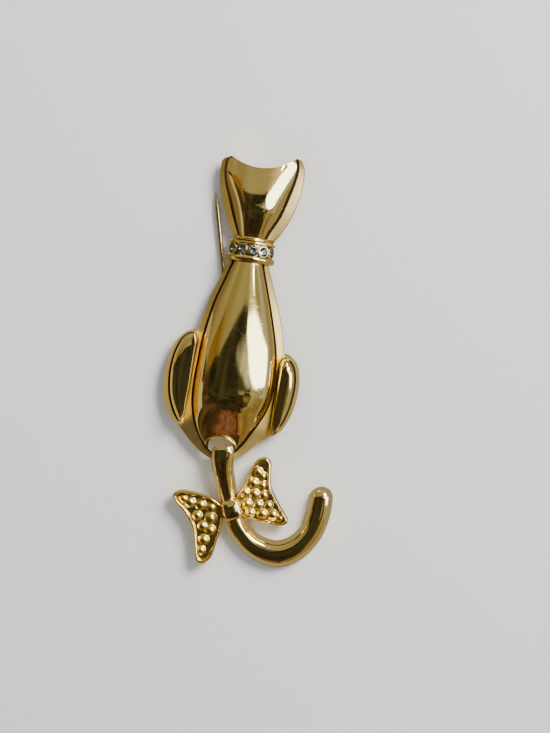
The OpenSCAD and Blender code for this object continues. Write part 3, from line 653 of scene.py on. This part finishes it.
def figure(material, band_material, crease_shade_material):
    half_body = np.array([BODY_W / 2, BODY_L, BODY_W / 2, BODY_L, 1])
    half_haunch = np.array([FIGURE_W / 2, HAUNCH_L, FIGURE_W / 2, HAUNCH_L, 1])
    rows = BODY * half_body, LEFT_HAUNCH * half_haunch, RIGHT_HAUNCH * half_haunch
    obj = pad("figure_casting", rows[0], BODY_STEPS, body_ridge)
    left, right = haunch_ridge(*LEFT_RIDGE), haunch_ridge(*RIGHT_RIDGE)
    parts = [
        pad("haunch_left", rows[1], HAUNCH_STEPS, left, HAUNCH_FULLNESS, LEFT_INNER),
        pad("haunch_right", rows[2], HAUNCH_STEPS, right, HAUNCH_FULLNESS, RIGHT_INNER),
        head(),
        *collar_parts(),
        *[collet(i) for i in range(1, STONES + 1)],
        hole_lip(),
    ]
    join_solids(obj, parts)
    join_solids(obj, [hole_prism()] + [stone_seat(i) for i in range(1, STONES + 1)], "DIFFERENCE")
    moved(obj, shift(0, -PIVOT_Y, RIM_Z))
    moved(obj, Matrix.Diagonal(FIGURE_FIT))
    finish_piece(obj, "brooch", material, replaces=["figure"])
    bands_and_painted_shade(obj.data, rows, band_material, crease_shade_material)


# Cut stones

# Radius and height of each ring of corners, in shares of the girdle's radius and of the crown or pavilion
TABLE_RING, KITE_RING, PAVILION_RING = (0.56, 1.0), (0.8, 0.62), (0.42, -0.66)
GIRDLE_TOP, GIRDLE_FOOT, CULET = 0.12, -0.06, (0.0, 0.0, -1.0)
FOIL_BELOW = -0.1


def corners(radius, z, count=8, turn=0.5):
    """A ring of corners, turned by a share of the step between them."""
    angles = [(k + turn) * 2 * math.pi / count for k in range(count)]
    return [(radius * math.cos(a), radius * math.sin(a), z) for a in angles]


def brilliant(i, clear, foil):
    """A round cut stone with table, star, kite and girdle facets, foiled behind."""
    points = corners(*TABLE_RING, turn=0) + corners(*KITE_RING)
    points += corners(1, GIRDLE_TOP, 16, 0) + corners(1, GIRDLE_FOOT, 16, 0)
    points += corners(*PAVILION_RING) + [CULET]
    scaled = [(x * STONE_R, y * STONE_R, z * (CROWN_H if z > 0 else PAVILION_H)) for x, y, z in points]
    table, kite, upper, lower, mid, culet = 0, 8, 16, 32, 48, 56
    faces = [tuple(range(table, table + 8))]
    for j in range(8):
        a, b, c = 2 * j, 2 * j + 1, (2 * j + 2) % 16
        t, k, m, before = table + j, kite + j, mid + j, mid + (j - 1) % 8
        t_next = table + (j + 1) % 8
        faces += [(t, k, t_next), (t, upper + a, k), (t_next, k, upper + c)]
        faces += [(upper + a, upper + b, k), (upper + b, upper + c, k)]
        faces += [(m, lower + b, lower + a), (m, lower + c, lower + b)]
        faces += [(m, lower + a, before), (culet, m, before)]
    faces += [(lower + j, lower + (j + 1) % 16, upper + (j + 1) % 16, upper + j) for j in range(16)]
    obj = new_object(f"cut_stone_{i}", scaled, faces)
    drop_doubles(obj)
    mesh = obj.data
    mesh.materials.append(clear)
    mesh.materials.append(foil)
    for face in mesh.polygons:
        face.material_index = 1 if face.center.z < FOIL_BELOW * MM * STONE_R else 0
    moved(obj, shift(0, -PIVOT_Y, RIM_Z) @ stone_matrix(i))
    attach(obj, "brooch")
    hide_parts(f"stone_{i}")


# The tail: a swept bar with a thin edge, the hook's tongue, and the bow

TAIL_STEPS, TONGUE_STEPS, WING_STEPS = 16, 8, 18
TONGUE_FACETS, KNOT_FACETS = 32, 96

# Half the bar's section: its thin edge, then the dome's foot and its roundness
TAIL_EDGE = [(0.94, 0.0), (0.98, 0.012), (1.0, 0.05), (1.0, 0.15), (0.985, 0.19), (0.95, 0.21),
             (0.915, 0.235), (0.9, 0.27)]
TAIL_DOME_W, TAIL_DOME_FOOT, TAIL_DOME_H, TAIL_DOME_ROUND = 0.9, 0.27, 0.73, 0.8
TAIL_COLUMNS = 28

# Its two ends: their length in shares of the tail's width, and how width and height round off there
TIP_LENGTH, NOSE_LENGTH = 0.42, 0.2
TIP_LEAST, TIP_LOW, TIP_RISE = 0.06, 0.45, 0.55
NOSE_LOW, NOSE_RISE = 0.7, 0.3

# A wing's rim: its wall and rounding by the wing's thickness, its outer and inner half by its own width,
# and its fall by the field's depth; the chamfer underneath is in millimetres
RIM_WALL, RIM_ROUND, RIM_OUTER, RIM_INNER, RIM_FALL = 0.62, 0.38, 0.55, 0.4, 1.1
WING_CHAMFER = 0.05
# How near the rim, the field's first row and its last row may come to the wing's middle line
RIM_STOP, FIELD_START, FIELD_STOP = 0.96, 0.97, 0.995
FIELD_ROWS = 64

# The bumps: how softly they run into each other, in millimetres, and height and spread by their radius
BUMP_BLEND, FIELD_LEVEL, BUMP_RISE, BUMP_SPREAD = 0.045, 0.05, 0.62, 1.25
BUMP_LEAST, BUMP_MOST = -0.6, 1

# Which faces belong to a bump: near its middle height over the field, and facing up; they take the field's
# rougher gold, whose deeper yellow is a painted reflection of gold in gold
BUMP_MIDDLE, BUMP_HALF, BUMP_FACES_UP = 0.15, 0.5, 0.2

# The bow over the tail's back, in shares of the tail's thickness, and the knot's size, in shares of the
# bow's width and the tail's thickness, and its turn in degrees
WING_LOW, KNOT_LOW = 0.5, 0.62
KNOT_W, KNOT_L, KNOT_H, KNOT_TURN = 0.155, 0.17, 1.05, 21

# The hook's flat wire: its top by the tail's thickness, its drop behind the rim and its bend by its own
TONGUE_TOP, TONGUE_DROP, TONGUE_BEND = 1.5, 1.13, 1.8

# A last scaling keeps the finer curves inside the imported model's box
TAIL_FIT = (0.9995, 0.9995, 0.999, 1)


def tail_section():
    """Half-width and height shares: flat back, thin edge, a step, then a dome."""
    half = list(TAIL_EDGE)
    for a in np.linspace(3, 90, TAIL_COLUMNS)[:-1]:
        s = math.radians(a)
        half.append((TAIL_DOME_W * math.cos(s) ** TAIL_DOME_ROUND,
                     TAIL_DOME_FOOT + TAIL_DOME_H * math.sin(s) ** TAIL_DOME_ROUND))
    return half + [(0.0, 1.0)] + [(-x, z) for x, z in reversed(half)]


def tail_bar():
    run = open_run(TAIL, TAIL_STEPS)
    path = HOOK_AT + run[:, 0:2] * [TAIL_REACH, TAIL_DROP]
    n = len(path)
    end_r, start_r = TAIL_W * TIP_LENGTH, TAIL_W * NOSE_LENGTH
    rings = []
    for i in range(n):
        along = unit(path[min(i + 1, n - 1)] - path[max(i - 1, 0)])
        side = np.array([-along[1], along[0]])
        q = min(np.linalg.norm(path[-1] - path[i]) / end_r, 1)
        p = min(np.linalg.norm(path[0] - path[i]) / start_r, 1)
        tip = max(math.sqrt(1 - (1 - q) ** 2), TIP_LEAST)
        nose = NOSE_LOW + NOSE_RISE * math.sqrt(1 - (1 - p) ** 2)
        far = i > n / 2
        half_w = run[i, 2] * TAIL_W / 2 * (tip if far else nose)
        low, high = max(run[i, 3], 0) * TAIL_T, run[i, 4] * TAIL_T
        tall = (high - low) * ((TIP_LOW + TIP_RISE * tip) if far else nose)
        rings.append([(*(path[i] + side * x * half_w), low + z * tall) for x, z in tail_section()])
    return skin("tail_casting", [np.array(r) for r in rings], caps="polygon")


def tongue():
    """The hook: from the tail over the hole's edge and along behind the figure."""
    top, behind = TAIL_T * TONGUE_TOP, RIM_Z - TONGUE_T * TONGUE_DROP
    r = TONGUE_T * TONGUE_BEND
    rows = np.array([
        [r * 0.56, top], [r * 0.86, top - r * 0.03], [r, top - r * 0.4], [r, (top + behind) / 2],
        [r * 0.98, behind + r * 0.36], [r * 0.76, behind + r * 0.05], [r * 0.33, behind],
        [-r * 0.4, behind], [-r, behind]])
    run = open_run(rows, TONGUE_STEPS)
    n = len(run)
    t = around(TONGUE_FACETS)
    rings = []
    for i in range(n):
        along = unit(run[min(i + 1, n - 1)] - run[max(i - 1, 0)])
        out = np.array([-along[1], along[0]])
        across = np.outer(np.cos(t), out) * TONGUE_T / 2
        rings.append(np.column_stack([np.sin(t) * TONGUE_W / 2, run[i] + across]))
    obj = skin("tongue", rings, caps="polygon")
    return moved(obj, shift(*HOOK_AT, 0) @ Matrix.Rotation(math.radians(REST_TURN), 4, "Z"))


def hammered(xy):
    """Height over a wing's field at points x, y: rounded bumps that run into each other."""
    total = np.full(len(xy), math.exp(-FIELD_LEVEL / BUMP_BLEND))
    for bx, by, size in BUMPS:
        centre = KNOT_AT + np.array([bx, by]) * BOW_W
        r = BUMP_D * size / 2
        d = np.linalg.norm(xy - centre, axis=1) / (r * BUMP_SPREAD)
        total += np.exp((r * BUMP_RISE * (1 - d**2)).clip(BUMP_LEAST, BUMP_MOST) / BUMP_BLEND)
    return BUMP_BLEND * np.log(total)


def wing(name, table, low):
    """A wing of the bow: a rounded raised rim, and a hammered field in to its middle line."""
    run = KNOT_AT + closed_run(table, WING_STEPS) * BOW_W
    n = len(run)
    keep = 2 * WING_STEPS
    index = np.minimum(np.arange(n), n - np.arange(n)).clip(keep, n // 2 - keep)
    spine = (run[index] + run[(n - index) % n]) / 2
    inward = unit(spine - run)
    depth = np.linalg.norm(spine - run, axis=1, keepdims=True)
    rim = WING_RIM_W
    field = low + WING_T - WING_FIELD_D
    levels = [(WING_CHAMFER, 0.0), (0.0, WING_CHAMFER), (0.0, WING_T * RIM_WALL)]
    for a in np.linspace(15, 90, 6):
        s = math.radians(a)
        rise = WING_T * RIM_WALL + WING_T * RIM_ROUND * math.sin(s)
        levels.append((rim * RIM_OUTER * (1 - math.cos(s)), rise))
    for a in np.linspace(15, 75, 5):
        s = math.radians(a)
        fall = WING_FIELD_D * (1 - math.cos(s)) * RIM_FALL
        levels.append((rim * (RIM_OUTER + RIM_INNER * math.sin(s)), WING_T - fall))
    rings = [ring(run + inward * np.minimum(d, depth * RIM_STOP), low + z) for d, z in levels]
    start = run + inward * np.minimum(rim, depth * FIELD_START)
    for t in np.linspace(0, 1, FIELD_ROWS):
        xy = start + (spine - start) * t * FIELD_STOP
        rings.append(ring(xy, field + hammered(xy)))
    return skin(name, rings)


def knot():
    """The bow's knot: a rounded square block with a softly domed top."""
    size = np.array([BOW_W * KNOT_W, BOW_W * KNOT_L, TAIL_T * KNOT_H])
    wall_h, shoulder_h, crown_h, crown_w = 0.6, 0.34, 0.06, 0.62
    t = around(KNOT_FACETS)
    corner = 1 / (np.abs(np.cos(t)) ** 4 + np.abs(np.sin(t)) ** 4) ** 0.25
    shape = np.column_stack([np.cos(t), np.sin(t)]) * corner[:, None] * size[:2] / 2
    levels = [(1.0, 0.0), (1.0, wall_h)]
    for a in np.radians(np.linspace(12, 90, 9)):
        levels.append((crown_w + (1 - crown_w) * math.cos(a), wall_h + shoulder_h * math.sin(a)))
    for s in (0.5, 0.38, 0.26, 0.14, 0.04):
        levels.append((s, wall_h + shoulder_h + crown_h * (1 - (s / crown_w) ** 2)))
    rings = [ring(shape * s, size[2] * z) for s, z in levels]
    place = shift(*KNOT_AT, TAIL_T * KNOT_LOW) @ Matrix.Rotation(math.radians(KNOT_TURN), 4, "Z")
    return moved(skin("knot", rings), place)


def tail(material, field_material):
    obj = tail_bar()
    low = TAIL_T * WING_LOW
    wings = [wing("wing_left", LEFT_WING, low), wing("wing_right", RIGHT_WING, low)]
    join_solids(obj, [tongue(), *wings, knot()])
    moved(obj, shift(0, -PIVOT_Y, 0))
    moved(obj, Matrix.Diagonal(TAIL_FIT))
    finish_piece(obj, "tail", material, replaces=["tail"])
    obj.data.materials.append(field_material)
    field = low + WING_T - WING_FIELD_D
    spot = KNOT_AT + BUMPS[:, :2] * BOW_W - [0, PIVOT_Y]
    reach = BUMP_D * BUMPS[:, 2] * BUMP_RISE
    # Bump faces take the field's gold, its deeper yellow a painted reflection
    for face in obj.data.polygons:
        centre = np.array(face.center) / MM
        near = np.linalg.norm(spot - centre[:2], axis=1) < reach
        high = abs(centre[2] - field - BUMP_MIDDLE) < BUMP_HALF
        if near.any() and high and face.normal.z > BUMP_FACES_UP:
            face.material_index = 1


# Materials

# Painted reflection: recesses turn amber, as gold reflecting gold looks
PAINTED_REFLECTION_AMBER = (0.86, 0.6, 0.12)
# Painted shade: narrow creases turn dark brown
PAINTED_CREASE_SHADE = (0.10, 0.055, 0.02)


def fill(tree, node, sockets):
    """Links an output into a socket, or sets its plain value."""
    for name, value in sockets.items():
        if isinstance(value, bpy.types.NodeSocket):
            tree.links.new(value, node.inputs[name])
        else:
            node.inputs[name].default_value = value


def add_node(tree, kind, sockets, **settings):
    """A new node with its settings and sockets; gives its outputs."""
    node = tree.nodes.new("ShaderNode" + kind)
    for name, value in settings.items():
        setattr(node, name, value)
    fill(tree, node, sockets)
    return node.outputs


def map_range(tree, value, **ends):
    """Maps a value from one range to another; a range that isn't given is 0 to 1."""
    sockets = {name.replace("_", " ").title(): end for name, end in ends.items()}
    return add_node(tree, "MapRange", {"Value": value, **sockets})["Result"]


def mixed(tree, factor, first, second):
    return add_node(tree, "Mix", {"Factor": factor, "A": first, "B": second}, data_type="RGBA")["Result"]


def added(tree, first, second):
    return add_node(tree, "Math", {0: first, 1: second}, operation="ADD")["Value"]


def node_material(name):
    material = bpy.data.materials.new(name)
    material.use_nodes = True
    return material, material.node_tree


def surface(name, sockets):
    """A material whose shader has only plain values."""
    material, tree = node_material(name)
    fill(tree, tree.nodes["Principled BSDF"], sockets)
    return material


def drift(tree, place, colour, other, grain, detail, low, high):
    """A colour that drifts between two, and the noise that moves it."""
    cloud = add_node(tree, "TexNoise", {"Vector": place, "Scale": grain, "Detail": detail})["Fac"]
    spread = map_range(tree, cloud, from_min=low, from_max=high)
    return mixed(tree, spread, (*colour, 1), (*other, 1)), cloud


def shade_recess(tree, colour, deep, reach, low, high):
    """Turns a colour towards another one in a recess, found by occlusion, to paint shade and reflection
    there; gives also how open the surface is there.
    """
    recess = add_node(tree, "AmbientOcclusion", {"Distance": reach}, samples=8)["AO"]
    openness = map_range(tree, recess, from_min=low, from_max=high)
    return mixed(tree, openness, (*deep, 1), colour), openness


def scratches(tree, place):
    """Thin long lines in two directions, as a roughness to add."""
    lines = []
    for turn in (0.55, -0.95):
        stretched = add_node(tree, "Mapping", {
            "Vector": place, "Rotation": (0.0, 0.0, turn), "Scale": (55.0, 420.0, 90.0)})["Vector"]
        cells = {"Vector": stretched, "Scale": 1.0}
        edge = add_node(tree, "TexVoronoi", cells, feature="DISTANCE_TO_EDGE")["Distance"]
        lines.append(map_range(tree, edge, from_min=0.0, from_max=0.012, to_min=0.08, to_max=0.0))
    return add_node(tree, "Math", {0: lines[0], 1: lines[1]}, operation="MAXIMUM")["Value"]


def polished_metal(name, colour, dark, roughness, scratch, deep=PAINTED_REFLECTION_AMBER):
    """Plated metal: slight tone changes, uneven polish, fine random scratches, a painted amber reflection
    in recesses and a painted shade in creases.
    """
    material, tree = node_material(name)
    place = add_node(tree, "TexCoord", {})["Object"]
    tone, cloud = drift(tree, place, colour, dark, grain=90.0, detail=4.0, low=0.45, high=0.8)
    # Painted reflection: the tone turns amber in recesses
    amber, openness = shade_recess(tree, tone, deep, reach=0.0028, low=0.35, high=0.9)
    # Painted shade: the colour darkens in narrow creases
    crease_shaded_tone = shade_recess(tree, amber, PAINTED_CREASE_SHADE, reach=0.0007, low=0.28, high=0.64)[0]
    polish = map_range(tree, cloud, to_min=roughness, to_max=roughness * 1.8)
    dull = map_range(tree, openness, to_min=0.22, to_max=0.0)
    worn = added(tree, polish, scratches(tree, place))
    stretched = add_node(tree, "Mapping", {
        "Vector": place, "Rotation": (0.0, 0.0, 0.7), "Scale": (260.0, 3400.0, 900.0)})["Vector"]
    fine = add_node(tree, "TexNoise", {"Vector": stretched, "Scale": 1.0, "Detail": 3.0})["Fac"]
    bump = add_node(tree, "Bump", {"Strength": scratch, "Distance": 0.00002, "Height": fine})["Normal"]
    fill(tree, tree.nodes["Principled BSDF"], {
        "Base Color": crease_shaded_tone, "Metallic": 1.0, "Roughness": added(tree, worn, dull), "Normal": bump})
    return material


def clear_stone():
    return surface("clear_stone", {
        "Base Color": (0.95, 0.98, 0.96, 1), "Transmission Weight": 1.0, "Roughness": 0.0, "IOR": 1.58})


def stone_foil():
    return surface("stone_foil", {"Base Color": (0.74, 0.74, 0.71, 1), "Metallic": 1.0, "Roughness": 0.04})


def glow(name, colour, other, grain, strength=1.0):
    """Emission that drifts between two colours, as a room does in a reflection."""
    material, tree = node_material(name)
    tree.nodes.clear()
    place = add_node(tree, "TexCoord", {})["Object"]
    tone = drift(tree, place, colour, other, grain, detail=3.0, low=0.38, high=0.64)[0]
    light = add_node(tree, "Emission", {"Color": tone, "Strength": strength})["Emission"]
    add_node(tree, "OutputMaterial", {"Surface": light})
    return material


# Stage: floor, cards that only the metal sees, light and camera; lengths in metres

FLOOR_HALF = 1.2
FLAT_CARD_Z, WALL_FOOT_Z = 0.0002, 0.002
FLAT_CARD_GRAIN = 8.0
SOFT_STEPS, SOFT_DROP, SOFT_SHRINK, SOFT_SHADE = 4, 0.002, 0.55, 0.5


def sheet(name, points, material):
    mesh = bpy.data.meshes.new(name)
    mesh.from_pydata(points, [], [tuple(range(len(points)))])
    mesh.materials.append(material)
    obj = bpy.data.objects.new(name, mesh)
    bpy.context.scene.collection.objects.link(obj)
    return obj


def level(start, end, z):
    """The corners of a rectangle that lies flat."""
    (x0, y0), (x1, y1) = start, end
    return [(x0, y0, z), (x1, y0, z), (x1, y1, z), (x0, y1, z)]


def floor():
    material = surface("floor", {"Base Color": (0.78, 0.77, 0.75, 1), "Roughness": 0.6})
    obj = sheet("floor", level((-FLOOR_HALF, -FLOOR_HALF), (FLOOR_HALF, FLOOR_HALF), 0), material)


def only_reflected(obj):
    obj.visible_camera = False
    obj.visible_diffuse = False
    obj.visible_shadow = False


def card(name, tilts, height, *light):
    """A card overhead, its corners given as tilts in degrees from straight up, east and north."""
    slopes = [(math.tan(math.radians(east)), math.tan(math.radians(north))) for east, north in tilts]
    points = [(height * x, height * y, height) for x, y in slopes]
    only_reflected(sheet(name, points, glow(name, *light)))


def soft_card(name, tilts, height, dim, colour, grain):
    """Cards inside each other, from a dim one at the rim to the full colour in the middle."""
    tilts, dim, colour = np.array(tilts, float), np.array(dim), np.array(colour)
    middle = tilts.mean(axis=0)
    for i in range(SOFT_STEPS):
        inner = middle + (tilts - middle) * (1 - SOFT_SHRINK * i / SOFT_STEPS)
        shade = dim + (colour - dim) * ((i + 1) / SOFT_STEPS)
        card(f"{name}_{i}", inner, height - SOFT_DROP * i, tuple(shade), tuple(shade * SOFT_SHADE), grain)


def flat_card(name, start, end, colour, other):
    """A card lying on the floor, seen only in the metal's steep sides."""
    light = glow(name, colour, other, FLAT_CARD_GRAIN)
    only_reflected(sheet(name, level(start, end, FLAT_CARD_Z), light))


def wall(name, start, end, height, *light):
    """An upright card that stands on the floor between two places."""
    points = [(*start, WALL_FOOT_Z), (*end, WALL_FOOT_Z), (*end, height), (*start, height)]
    only_reflected(sheet(name, points, glow(name, *light)))


def surroundings():
    world = bpy.data.worlds.new("studio")
    bpy.context.scene.world = world
    world.use_nodes = True
    back = world.node_tree.nodes["Background"]
    back.inputs["Color"].default_value = (0.82, 0.87, 0.93, 1)
    back.inputs["Strength"].default_value = 0.6


def lamp(name, place, size, power, colour):
    light = bpy.data.lights.new(name, "AREA")
    light.size = size
    light.energy = power
    light.color = colour
    obj = bpy.data.objects.new(name, light)
    obj.location = place
    obj.rotation_euler = Vector(place).to_track_quat("Z", "Y").to_euler()
    bpy.context.scene.collection.objects.link(obj)


# The photograph's frame in pixels, a pixel in millimetres, the brooch's lean, the pixel where its widest
# line sits, and the camera's height, its focus and its sensor in millimetres
FRAME_W, FRAME_H = 550, 733
PIXEL = 0.193
LEAN = math.radians(8.4)
WIDEST_AT = (231.2, 385.4)
CAMERA_HEIGHT = 520.0
FOCUS_Z = 3.0
SENSOR_HEIGHT = 24.0


def camera():
    dx = (FRAME_W / 2 - WIDEST_AT[0]) * PIXEL
    dy = (WIDEST_AT[1] - FRAME_H / 2) * PIXEL
    x = dx * math.cos(LEAN) - dy * math.sin(LEAN)
    y = dx * math.sin(LEAN) + dy * math.cos(LEAN) - PIVOT_Y
    data = bpy.data.cameras.new("camera")
    data.sensor_fit = "VERTICAL"
    data.sensor_height = SENSOR_HEIGHT
    data.lens = SENSOR_HEIGHT * (CAMERA_HEIGHT - FOCUS_Z) / (FRAME_H * PIXEL)
    obj = bpy.data.objects.new("camera", data)
    obj.location = (x * MM, y * MM, CAMERA_HEIGHT * MM)
    obj.rotation_euler = (0, 0, LEAN)
    bpy.context.scene.collection.objects.link(obj)
    bpy.context.scene.camera = obj


# Metals: colour, the colour that it drifts to, roughness and the strength of its fine scratches
gold = polished_metal("gold_plate", (0.93, 0.73, 0.29), (0.88, 0.67, 0.23), 0.05, 0.12)
# Hammered field: a rougher polish, with a deeper yellow than the gold that is painted reflection of gold in
# gold
field_gold = polished_metal("field_gold", (0.9, 0.66, 0.17), (0.8, 0.54, 0.11), 0.16, 0.1)
# Bands: a satin polish, with a darker tone than the gold that is painted shade
band_gold = polished_metal("band_gold", (0.87, 0.66, 0.22), (0.81, 0.6, 0.18), 0.28, 0.1)
# Painted shade: a near-black metal for the dark lines along the creases
crease_painted_shade = polished_metal("crease_painted_shade", (0.07, 0.045, 0.02), (0.04, 0.025, 0.012), 0.35, 0.1,
                                deep=(0.05, 0.03, 0.012))
wire_gold = polished_metal("wire_gold", (0.78, 0.57, 0.28), (0.62, 0.4, 0.18), 0.12, 0.2)
clear = clear_stone()
foil = stone_foil()

figure(gold, band_gold, crease_painted_shade)
tail(gold, field_gold)
for number in range(1, STONES + 1):
    brilliant(number, clear, foil)
for name in ("pin_bar", "pin_rivet", "pin_stem"):
    node_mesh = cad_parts[name].data
    node_mesh.materials.clear()
    node_mesh.materials.append(wire_gold if name == "pin_stem" else gold)

floor()
surroundings()
lamp("window", (0.35, 0.45, 0.6), size=0.35, power=12.0, colour=(1.0, 0.96, 0.9))

# Cards overhead, where lower ones hide higher ones: tilts, height, the two colours, grain and strength
card("ceiling", [(-66, -66), (66, -66), (66, 66), (-66, 66)], 0.64,
     (0.3, 0.28, 0.17), (0.46, 0.43, 0.31), 1.4)
card("bright_window",
     [(17, 13), (22, 9), (28, 7), (35, 4), (42, 1), (50, -1), (78, -2), (79, 52), (66, 36), (40, 24),
      (17, 17)], 0.60, (0.9, 0.96, 1.3), (0.8, 0.88, 1.25), 3.0, 7.5)
card("pale_east", [(50, -1), (78, -2), (78, -20), (66, -24), (63, -40), (52, -40)], 0.59,
     (0.4, 0.36, 0.24), (0.34, 0.3, 0.19), 4.0)
card("amber_west", [(-80, 22), (-38, 20), (-42, 2), (-60, -6), (-80, -10)], 0.57,
     (0.4, 0.29, 0.1), (0.3, 0.2, 0.07), 4.0)
card("amber_ear", [(-44, 12), (-78, 12), (-78, 27), (-44, 27)], 0.12,
     (0.3, 0.2, 0.06), (0.22, 0.13, 0.035), 30.0)
card("dark_overhead",
     [(-80, -40), (-62, -60), (-40, -69), (14, -73), (42, -73), (46, -58), (43, -42), (42, -22), (40, -6),
      (36, 0), (32, 4), (26, 7), (20, 9.5), (15, 13), (15, 19), (2, 18), (-28, 13), (-40, 10), (-52, 11),
      (-66, 10), (-80, 6)], 0.56, (0.014, 0.014, 0.012), (0.07, 0.065, 0.045), 3.5)
card("brown_south",
     [(-62, -30), (26, -30), (44, -58), (40, -72), (14, -72), (-40, -68), (-61, -59)], 0.556,
     (0.022, 0.018, 0.014), (0.055, 0.036, 0.022), 5.0)
soft_card("amber_east", [(24, -12), (43, -9), (44, -40), (31, -38), (26, -24)], 0.545,
          (0.07, 0.045, 0.02), (0.3, 0.22, 0.07), 9.0)
soft_card("haze_low", [(13, 0), (27, 0), (27, -9), (15, -8)], 0.54,
          (0.07, 0.055, 0.035), (0.42, 0.36, 0.22), 14.0)
soft_card("haze",
          [(-3, 10), (8, 13), (18, 14), (26, 8), (36, 3), (38, -1), (28, 0), (18, 4), (6, 6)], 0.55,
          (0.1, 0.1, 0.09), (0.75, 0.75, 0.72), 14.0)

# Upright cards: two places on the floor, height, the two colours and grain
PALE = (0.75, 0.65, 0.45), (0.6, 0.52, 0.35), 6.0
wall("dark_low", (-0.28, -0.7), (0.28, -0.7), 0.6, (0.03, 0.02, 0.018), (0.07, 0.04, 0.028), 6.0)
wall("dark_south_west", (-0.95, -0.2), (-0.28, -0.7), 0.6, (0.03, 0.022, 0.018), (0.12, 0.075, 0.045), 6.0)
wall("brown_south_east", (0.28, -0.7), (0.95, -0.2), 0.5, (0.22, 0.15, 0.06), (0.34, 0.29, 0.16), 5.0)
wall("amber_south", (0.14, -0.69), (0.28, -0.69), 0.35, (0.42, 0.29, 0.1), (0.2, 0.11, 0.04), 9.0)
wall("warm_rim", (-0.14, -0.6), (0.16, -0.6), 0.38, (0.13, 0.06, 0.04), (0.04, 0.02, 0.015), 22.0)
wall("warm_middle", (-0.1, -0.598), (0.12, -0.598), 0.33, (0.26, 0.12, 0.09), (0.09, 0.04, 0.03), 22.0)
wall("warm_heart", (-0.06, -0.596), (0.07, -0.596), 0.26, (0.36, 0.18, 0.14), (0.12, 0.055, 0.045), 22.0)
wall("dark_west", (-0.95, 0.08), (-0.95, -0.2), 0.5, (0.03, 0.022, 0.018), (0.09, 0.06, 0.035), 6.0)
wall("pale_west", (-0.92, 0.0), (-0.92, -0.2), 0.17, *PALE)
wall("pale_south_west", (-0.92, -0.2), (-0.6, -0.45), 0.17, *PALE)
wall("dim_west", (-0.9, 0.08), (-0.9, 0.8), 0.4, (0.3, 0.25, 0.15), (0.4, 0.34, 0.22), 3.0)

# Cards on the floor: two opposite corners and the two colours
flat_card("low_north_west", (-0.6, 0.012), (0.0, 0.6), (0.2, 0.17, 0.095), (0.26, 0.22, 0.13))
flat_card("low_south_west", (-0.6, -0.6), (0.0, 0.012), (0.62, 0.53, 0.36), (0.52, 0.44, 0.29))
flat_card("low_east", (0.0, -0.6), (0.6, 0.6), (0.34, 0.31, 0.22), (0.42, 0.39, 0.3))
camera()
